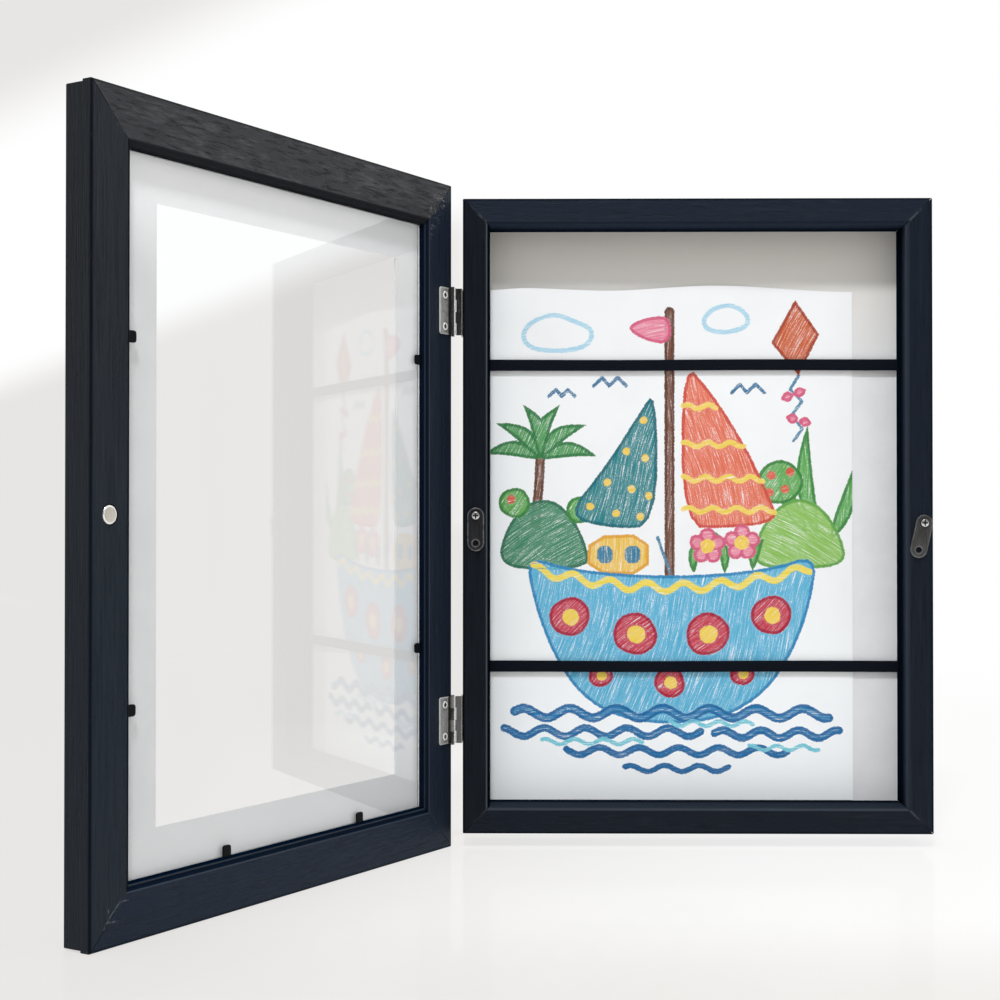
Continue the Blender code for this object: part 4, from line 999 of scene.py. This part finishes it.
def drawing_layers():
    """(name, colour, outline colour, direction of the strokes, shapes) from the lowest layer up."""
    clouds = (
        [(22, 262), (18, 271), (26, 279), (38, 282), (48, 278), (60, 273), (57, 263), (40, 260)],
        [(126, 272), (123, 279), (131, 286), (141, 287), (149, 282), (150, 275), (139, 271)])
    birds = ([(60, 240), (65, 245), (69, 240), (74, 245), (79, 240)],
             [(34, 234), (38, 238), (41.5, 234), (45, 238), (49, 234)],
             [(140, 236), (145, 241), (149, 236), (154, 241), (159, 236)])
    stripes = ((131, 228, 1.4, 12, 0.3), (147, 206, 1.4, 13, 0.9), (158, 186, 1.5, 13, 1.6),
               (165, 168, 1.5, 14, 0.2))
    bows = [leaf(x, y, 8, 6, angle) for x, y, angle in
            ((176, 235, 20), (176, 235, 200), (179, 220, -15), (179, 220, 165))]
    flowers = ((126, 147, 0.4), (146, 149, 1.4))
    petals = [disc(x + 6.2 * math.cos(a), y + 6.2 * math.sin(a), 4.6, x + a)
              for x, y, _ in flowers for a in np.linspace(0.3, 0.3 + math.tau, 6)[:-1]]
    ports = ((46, 106, 11.5), (84, 96, 12.5), (126, 96, 12.5), (163, 107, 11.5), (104, 68, 9.0),
             (64, 72, 7.0), (146, 73, 7.0))
    rim = np.linspace(25, 185, 90)
    trim = np.stack((rim, 123 + 11 * ((rim - 104) / 80) ** 2 + 2.6 * np.sin(rim / 3.4)), axis=1)
    return [
        ("cloud", (0.42, 0.70, 0.86), None, 8,
         strokes(*((np.vstack((ring, ring[:1])), 1.3) for ring in map(rounded, clouds)))),
        ("birds", (0.02, 0.16, 0.34), None, 30, strokes(*((bird, 1.0) for bird in birds))),
        ("trunk", (0.20, 0.070, 0.035), (0.11, 0.036, 0.020), 88,
         strokes(([(26, 160), (28, 180), (29, 198)], 2.8), ([(104, 128), (104, 283)], 2.9))),
        ("reeds", (0.10, 0.42, 0.080), (0.030, 0.21, 0.045), 92,
         shapes(leaf(190, 152, 66, 10, 95, 0.07), leaf(197, 150, 46, 9, 72, -0.06),
                leaf(184, 154, 44, 9, 110, 0.08))),
        ("palms", (0.060, 0.33, 0.085), (0.020, 0.17, 0.050), 60,
         shapes(*(leaf(29, 198, 33, 9, angle, 0.14 if angle < 90 else -0.14)
                  for angle in (2, 36, 70, 108, 142, 176)))),
        ("hill_left", (0.035, 0.25, 0.125), (0.014, 0.135, 0.075), 34, shapes(rounded(
            [(4, 136), (8, 156), (20, 172), (36, 175), (49, 163), (57, 144), (57, 135),
             (30, 132)]))),
        ("hill_right", (0.27, 0.55, 0.105), (0.10, 0.33, 0.060), -28, shapes(rounded(
            [(152, 135), (154, 152), (164, 168), (178, 176), (193, 170), (204, 152), (207, 136),
             (180, 133)]))),
        ("bushes", (0.10, 0.40, 0.070), (0.030, 0.20, 0.040), 50,
         shapes(disc(168, 184, 13, 1.0), disc(14, 172, 9, 2.0), disc(52, 168, 8, 0.5))),
        ("fruits", (0.74, 0.085, 0.045), None, 20, shapes(*(disc(x, y, 2.5, x) for x, y in (
            (163, 188), (171, 180), (174, 190), (162, 178), (12, 174), (53, 170))))),
        ("rope", (0.02, 0.20, 0.36), None, 40,
         strokes(([(104, 132), (97, 152)], 0.9),
                 ([(179, 246), (174, 238), (181, 231), (175, 223), (181, 215), (176, 208)], 0.9))),
        ("left_sail", (0.010, 0.235, 0.265), (0.006, 0.125, 0.165), 72,
         shapes(rounded([(97, 158), (97, 240), (85, 222), (66, 192), (43, 164), (70, 157)]))),
        ("dots", (0.90, 0.62, 0.070), None, 20, shapes(*(disc(x, y, 2.3, x + y) for x, y in (
            (89, 220), (79, 202), (90, 198), (68, 184), (82, 180), (92, 176), (58, 170), (73, 166),
            (87, 164))))),
        ("right_sail", (0.80, 0.165, 0.085), (0.58, 0.060, 0.045), 104, shapes(rounded(
            [(111, 158), (111, 256), (129, 236), (149, 204), (162, 176), (168, 161), (138, 157)]))),
        ("stripes", (0.90, 0.66, 0.085), None, 5,
         strokes(*((wave(112, *stripe), 1.5) for stripe in stripes))),
        ("stems", (0.11, 0.43, 0.080), (0.030, 0.21, 0.045), 80,
         shapes(leaf(118, 131, 24, 6, 78, 0.1), leaf(136, 131, 26, 6, 104, -0.1),
                leaf(152, 133, 20, 6, 70, 0.1))),
        ("flag", (0.83, 0.24, 0.36), (0.62, 0.085, 0.19), 12,
         shapes(rounded([(105, 281), (105, 264), (90, 266), (78, 274), (90, 280)]),
                *bows, *petals)),
        ("middles", (0.92, 0.66, 0.060), None, 40,
         shapes(*(disc(x, y, 4.2, seed) for x, y, seed in flowers))),
        ("kite", (0.62, 0.115, 0.026), (0.33, 0.038, 0.014), 60,
         shapes([(177, 290), (191, 270), (179, 246), (163, 265)])),
        ("cabin", (0.88, 0.56, 0.075), (0.72, 0.33, 0.030), 84,
         shapes(rounded([(56, 131), (57, 153), (92, 154), (92, 130)], 1))),
        ("windows", (0.015, 0.20, 0.36), None, 84,
         shapes(*(rounded([(x, 137), (x, 147), (x + 9, 147), (x + 9, 137)], 1) for x in (62, 78)))),
        ("hull", (0.085, 0.46, 0.71), (0.012, 0.20, 0.46), 74, shapes(rounded(
            [(20, 142), (48, 133), (104, 129), (160, 133), (190, 143), (186, 114), (176, 86),
             (160, 62), (136, 47), (104, 43), (74, 47), (52, 60), (36, 84), (25, 114)]))),
        ("sea", (0.012, 0.23, 0.50), (0.008, 0.125, 0.34), 4,
         strokes((wave(14, 196, 50, 2.8, 27, 0.4), 2.7), (wave(8, 122, 39, 2.5, 24, 1.8), 2.2),
                 (wave(130, 202, 38, 2.3, 22, 0.2), 2.3), (wave(44, 172, 28, 2.2, 23, 2.6), 2.0),
                 (wave(78, 138, 18, 1.8, 20, 0.6), 1.6))),
        ("foam", (0.16, 0.62, 0.76), None, 6,
         strokes((wave(30, 88, 33.5, 1.6, 17, 0.9), 1.2), (wave(104, 152, 44, 1.5, 15, 2.2), 1.2),
                 (wave(150, 190, 30, 1.5, 15, 1.2), 1.1))),
        ("rings", (0.60, 0.022, 0.060), (0.36, 0.010, 0.038), 40,
         shapes(*(disc(x, y, radius, x * 0.7) for x, y, radius in ports))),
        ("hearts", (0.92, 0.66, 0.060), None, 40,
         shapes(*(disc(x + 0.6, y - 0.3, radius * 0.42, x * 1.3) for x, y, radius in ports))),
        ("trim", (0.92, 0.72, 0.055), None, 0, strokes((trim, 1.9))),
    ]


# How far from its shape a layer's distance is held, and how far past it the layer turns the strokes
INK_FAR = 9.0
INK_TURN = 0.6
# The sheet, A4: its thickness and its gap to the backing, then its top edge, as places across it
# and how far it sinks there
A4 = (0.210, 0.297)
SHEET_THICK = 0.00028
SHEET_GAP = 0.00022
SHEET_TOP_SAG = (
    (0.0, 0.0012), (0.0197, 0.0001), (0.0683, 0.0016), (0.1307, -0.0013), (A4[0], 0.0024))


def smoothstep(value, low, high):
    share = np.clip((value - low) / (high - low), 0, 1)
    return share * share * (3 - 2 * share)


def sheet_relief(across, up):
    """How far the paper stands off the backing: flat under the bands, wavy at its top."""
    upper_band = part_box("upper_elastic_band")[1].z - SHEET_LOW.z
    lower_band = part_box("lower_elastic_band")[0].z - SHEET_LOW.z
    head = smoothstep(up, upper_band + 0.001, A4[1])
    foot = smoothstep(lower_band - up, 0.001, lower_band)
    waves = 0.5 + 0.30 * np.sin(across / 0.047 + 0.9) + 0.20 * np.sin(across / 0.0215 + 2.2)
    low_waves = 0.5 + 0.5 * np.sin(across / 0.058 + 2.6)
    middle_waves = 0.5 + 0.5 * np.sin(across / 0.04)
    between = np.sin(np.clip((up - lower_band) / (upper_band - lower_band), 0, 1) * np.pi) ** 2
    return 0.0019 * head * waves + 0.0006 * foot * low_waves + 0.00022 * between * middle_waves


def wave_through(place, crests):
    """A smooth wave through the given crests and dips, each a (place, height)."""
    height = np.full_like(place, crests[0][1])
    for (start, low), (end, high) in zip(crests, crests[1:]):
        height += (high - low) * smoothstep(place, start, end)
    return height


def sheet_points(columns, rows, depth):
    """Points of one side of the sheet, and their places across and up."""
    width, height = SHEET_HIGH.x - SHEET_LOW.x, SHEET_HIGH.z - SHEET_LOW.z
    u, v = np.meshgrid(np.linspace(0, 1, columns + 1), np.linspace(0, 1, rows + 1))
    across = u * width
    up = v * height - wave_through(across, SHEET_TOP_SAG) * smoothstep(v, 0.80, 1.0)
    front = BACKING_FRONT - SHEET_GAP - SHEET_THICK - sheet_relief(across, up)
    points = np.stack((SHEET_LOW.x + across, front + depth, SHEET_LOW.z + up), axis=-1)
    return points.reshape(-1, 3), across.reshape(-1), up.reshape(-1)


def art_sheet():
    """A wavy sheet of thick paper, fine on its drawn side and coarse on its back."""
    columns, rows, coarse_columns, coarse_rows = 250, 354, 50, 59
    front, across, up = sheet_points(columns, rows, 0.0)
    back = sheet_points(coarse_columns, coarse_rows, SHEET_THICK)[0]
    drawn = len(front)
    fine = np.arange(drawn).reshape(rows + 1, columns + 1)
    coarse = drawn + np.arange(len(back)).reshape(coarse_rows + 1, coarse_columns + 1)
    faces = grid_faces(fine) + grid_faces(coarse.T)
    # The edge of the sheet: bottom, top, left and right
    for points, others in ((fine[0], coarse[0]), (fine[-1, ::-1], coarse[-1, ::-1]),
                           (fine[::-1, 0], coarse[::-1, 0]), (fine[:, -1], coarse[:, -1])):
        step = (len(points) - 1) // (len(others) - 1)
        for number, pair in enumerate(zip(others[:-1].tolist(), others[1:].tolist())):
            run = points[number * step:(number + 1) * step + 1].tolist()
            faces.append((*reversed(run), *pair))
    mesh = mesh_of("drawn_sheet", np.vstack((front, back)), faces, sharp=50)

    # Each layer's distance, and the direction of the strokes on the layer that lies on top
    x, y = across * 1000, up * 1000
    layers = drawing_layers()
    hatch = np.zeros((len(mesh.vertices), 3))
    hatch[:drawn, 0], hatch[:drawn, 1] = x, y
    for number, (name, _, _, direction, distance) in enumerate(layers):
        values = np.full(len(mesh.vertices), INK_FAR)
        values[:drawn] = np.clip(distance(x, y), -INK_FAR, INK_FAR)
        layer = mesh.attributes.new("ink_" + name, "FLOAT", "POINT")
        layer.data.foreach_set("value", values.astype(np.float32))
        turn = math.radians(direction)
        within = values[:drawn] < INK_TURN
        along = x * math.cos(turn) + y * math.sin(turn)
        aside = y * math.cos(turn) - x * math.sin(turn) + 2.2 * np.sin(along / 17.0 + number)
        hatch[:drawn, 0][within] = along[within]
        hatch[:drawn, 1][within] = aside[within] + number * 37.0
    stroke = mesh.attributes.new("hatch", "FLOAT_VECTOR", "POINT")
    stroke.data.foreach_set("vector", hatch.astype(np.float32).ravel())
    finish = drawn_paper("drawn_paper", layers)
    return new_piece("drawn_sheet", mesh, "box", "sheet_paper", finish, "art_sheet")


def drawn_paper(name, layers):
    """White drawing paper with wax-crayon marks that catch on its tooth."""
    n = Finish(name)
    tooth = n.noise(2100.0, 2.0, 0.6)
    mottle = n.noise(38.0, 3.0)
    hatch = n.node("Attribute", attribute_name="hatch").outputs["Vector"]
    streaks = n.noise((0.055, 1.35, 1.0), 3.0, 0.62, place=hatch)
    thin = n.noise((0.10, 3.6, 1.0), 2.0, 0.55, place=hatch)
    shift = (n.noise(900.0, 3.0, 0.65) - 0.5) * 1.5
    waxed = streaks * 0.5 + thin * 0.22 + tooth * 0.28
    cover = waxed.ramp(0.385, 0.475) * (1.0 - thin.ramp(0.66, 0.73) * 0.55)
    heavy = streaks.ramp(0.40, 0.68)

    n.tone = n.mix(mottle.ramp(0.35, 0.7), (0.868, 0.888, 0.905), (0.850, 0.868, 0.888))
    x, _, z = n.parts(n.place)
    # Painted light: paler and bluer towards the foot and the left side, where the bottom rail and
    # the left wall shade the sheet
    foot = z.ramp(SHEET_LOW.z + 0.16, SHEET_LOW.z + 0.02)
    side = x.ramp(SHEET_LOW.x + 0.035, SHEET_LOW.x, 0.0, 0.8)
    n.paint(n.most(foot, side) * 0.9, (0.935, 0.970, 0.995))
    amounts = []
    for layer, tint, outline, _, _ in layers:
        distance = n.value("Attribute", output="Fac", attribute_name="ink_" + layer) + shift
        inside = distance.ramp(0.22, -0.22)
        pale = tuple(min(1.0, part * 0.72 + 0.20) for part in tint)
        wax = n.mix(heavy, n.mix(0.42, tint, pale), n.mix(0.55, tint, toned(tint, 0.74)))
        amount = inside * cover
        if outline is not None:
            rim = abs(distance + 0.9).ramp(1.25, 0.55)
            wax = n.mix(rim * 0.85, wax, outline)
            amount = n.most(amount, rim * inside * 0.90)
        n.paint(amount, wax)
        amounts.append(amount)
    marked = n.most(*amounts)
    n.bump(tooth * 0.5 + marked * waxed * 0.8, 0.00006, 0.7)
    return n.done(Roughness=marked.line(0.0, 1.0, 0.82, 0.60), Specular_IOR_Level=0.22)


# Camera, light and floor


def camera():
    data = bpy.data.cameras.new("Camera")
    data.lens = CAMERA_LENS
    data.sensor_width = CAMERA_SENSOR
    data.clip_start = CAMERA_CLIP
    item = add_object("Camera", data)
    item.location = CAMERA_PLACE
    item.rotation_euler = Euler([math.radians(angle) for angle in CAMERA_TILT])
    bpy.context.scene.camera = item


def background():
    """White with a soft shade where it is seen, dimmer in front for gloss, and a dome as light."""
    world = bpy.data.worlds.new("World")
    bpy.context.scene.world = world
    world.use_nodes = True
    n = Nodes(world.node_tree)
    n.tree.nodes.clear()
    x, y, z = n.parts(n.node("TexCoord").outputs["Generated"])
    ahead = n.most(y, LEAST_AHEAD)
    aside, up = x / ahead, z / ahead
    low_edge = aside * SHADE_SLOPES[0] + SHADE_LEVELS[0] - up
    high_edge = up - (aside * SHADE_SLOPES[1] + SHADE_LEVELS[1])
    low_shade = low_edge.ramp(-SHADE_SOFTNESS, SHADE_SOFTNESS) * aside.ramp(*SHADE_SIDE)
    shade = n.most(low_shade, high_edge.ramp(-SHADE_SOFTNESS * 2, SHADE_SOFTNESS * 2))
    seen_colour = n.mix(shade * y.ramp(0.72, 0.90), WHITE, SHADE_COLOUR)
    seen, gloss, dome = (
        n.node("Background", {"Color": colour, "Strength": strength}).outputs[0]
        for colour, strength in (
            (seen_colour, 1.0), (WHITE, y.ramp(-0.70, 0.05, DIM_FRONT, 1.0)), (DOME_COLOUR, DOME)))
    mirrored = n.rays("Glossy") > n.rays("Transmission") + 0.5
    visible = n.node("MixShader", {0: mirrored, 1: seen, 2: gloss}).outputs[0]
    shown = n.rays("Camera", "Transmission", "Glossy")
    blend = n.node("MixShader", {0: shown, 1: dome, 2: visible}).outputs[0]
    n.put(n.node("OutputWorld").inputs["Surface"], blend)


def key_lamp():
    lamp = bpy.data.lights.new("Key", "AREA")
    lamp.shape = "DISK"
    lamp.size = KEY_SIZE
    lamp.energy = KEY_POWER
    lamp.color = KEY_COLOUR
    item = add_object("Key", lamp)
    elevation, azimuth = math.radians(KEY_ELEVATION), math.radians(KEY_AZIMUTH)
    toward = Vector((
        math.sin(azimuth) * math.cos(elevation),
        -math.cos(azimuth) * math.cos(elevation),
        math.sin(elevation),
    ))
    item.location = BOX_MIDDLE + toward * KEY_DISTANCE
    item.rotation_euler = (-toward).to_track_quat("-Z", "Y").to_euler()


def floor():
    """A round floor that reaches far past the object."""
    sides = 48
    rings = [(radius, FLOOR_Z) for radius in (0.3, 0.6, 1.0, 1.6, 2.4, 4.0, 8.0, 20.0, 60.0)]
    points = [(0, 0, FLOOR_Z), *ring_points(rings, sides)]
    mesh = mesh_of("floor", points, fan_faces(sides) + ring_faces(len(rings), sides, 1))
    mesh.materials.append(floor_finish("floor_finish"))
    item = add_object("floor", mesh)


def dress_rails():
    navy, navy_pale = (0.0034, 0.0075, 0.0165), (0.0130, 0.0200, 0.0330)
    # Painted light: each box rail's tone is scaled lighter or darker for how the light falls on it.
    # The ledge is a painted highlight, and the wall light paints the inner wall lit near the front.
    for node, strength, ledge, rubbed, wall_light in (
            ("box_top_rail", 1.35, 0.12, 0.0011, ((0.023, 0.033, 0.054), 0.006, 0.021)),
            ("box_bottom_rail", 0.85, 0.40, 0.0011, ((0.020, 0.027, 0.038), 0.012, 0.022)),
            ("box_left_stile", 0.52, 0.85, 0.0006, None),
            ("box_right_stile", 0.95, 0.25, 0.0011, ((0.034, 0.044, 0.062), 0.001, 0.013))):
        deep, pale = toned(navy, strength), toned(navy_pale, strength)
        assign(node, wood_foil(node, deep, pale, 0.45, ledge, rubbed, wall_light))
    # Painted light: each door rail has its own colours, lighter or darker for how the light falls
    # on it, the top rail lightest. The ledge is a painted highlight.
    for node, deep, pale, contrast, ledge in (
            ("door_top_rail", (0.0215, 0.0235, 0.0285), (0.070, 0.070, 0.077), 0.95, 0.0),
            ("door_bottom_rail", (0.0006, 0.0076, 0.0230), (0.0050, 0.0160, 0.0345), 0.35, 0.45),
            ("door_hinge_stile", (0.0042, 0.0100, 0.0235), (0.0130, 0.0205, 0.0360), 0.5, 0.30),
            ("door_free_stile", (0.0046, 0.0084, 0.0145), (0.0195, 0.0235, 0.0300), 0.5, 0.20)):
        assign(node, wood_foil(node, deep, pale, contrast, ledge, 0.0029))


def dress_frame():
    """Finishes of the other nodes whose shapes stay."""
    # Painted shade: the backing darker and warmer towards the top, under the top rail
    backing_shade = [((0.715, 0.690, 0.645), 2, 0.06, 0.165)]
    assign("backing_card", card("backing_finish", (0.780, 0.793, 0.816), painted_light_tones=backing_shade))
    assign("back_board", hardboard("board_finish"))
    # Painted light: the mat paler towards the hinge side, the bottom and most of all the top, where
    # the door's rails shade it
    mat_light = [((0.86, 0.863, 0.872), 0, 0.02, -0.11), ((0.78, 0.782, 0.786), 2, -0.12, -0.16),
                ((0.96, 0.963, 0.970), 2, 0.105, 0.150)]
    assign("mat_board", card("mat_finish", (0.722, 0.725, 0.730), True, MAT_CORE, 1.0, mat_light))
    assign("glazing_pane", clear_pane("pane_finish"))

    box_steel = box_leaf_finish("box_leaf_finish")
    zinc = steel("hanger_steel", (0.55, 0.55, 0.535), (0.30, 0.46), grime=0.3).done()
    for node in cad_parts:
        screw = next((kind for kind in SCREWS if kind in node), None)
        if screw:
            assign(node, screw_finish(node, *SCREWS[screw]))
        elif "point" in node:
            assign(node, black_point(node + "_finish", node.startswith("pane")))
        elif "hanger" in node:
            assign(node, zinc)
        elif node.endswith(("_box_leaf", "_pin")):
            assign(node, box_steel)


camera()
background()
key_lamp()
floor()
dress_rails()
dress_frame()
art_sheet()
band_finish = elastic("band_finish")
elastic_band("upper_band", "upper_elastic_band", band_finish)
elastic_band("lower_band", "lower_elastic_band", band_finish)
# Painted light: the right plate is painted lighter than the left, for how the light falls on each
catch_plate("left", 0.0, (0.050, 0.051, 0.056))
catch_plate("right", RIGHT_PLATE_TILT, (0.128, 0.128, 0.124))
leaf_finish = door_leaf_finish("door_leaf_finish")
door_leaf("upper_leaf_dressed", "upper_door_leaf", leaf_finish)
door_leaf("lower_leaf_dressed", "lower_door_leaf", leaf_finish)
door_magnet()

scene = bpy.context.scene
scene.view_settings.view_transform = "Standard"

bpy.context.view_layer.update()
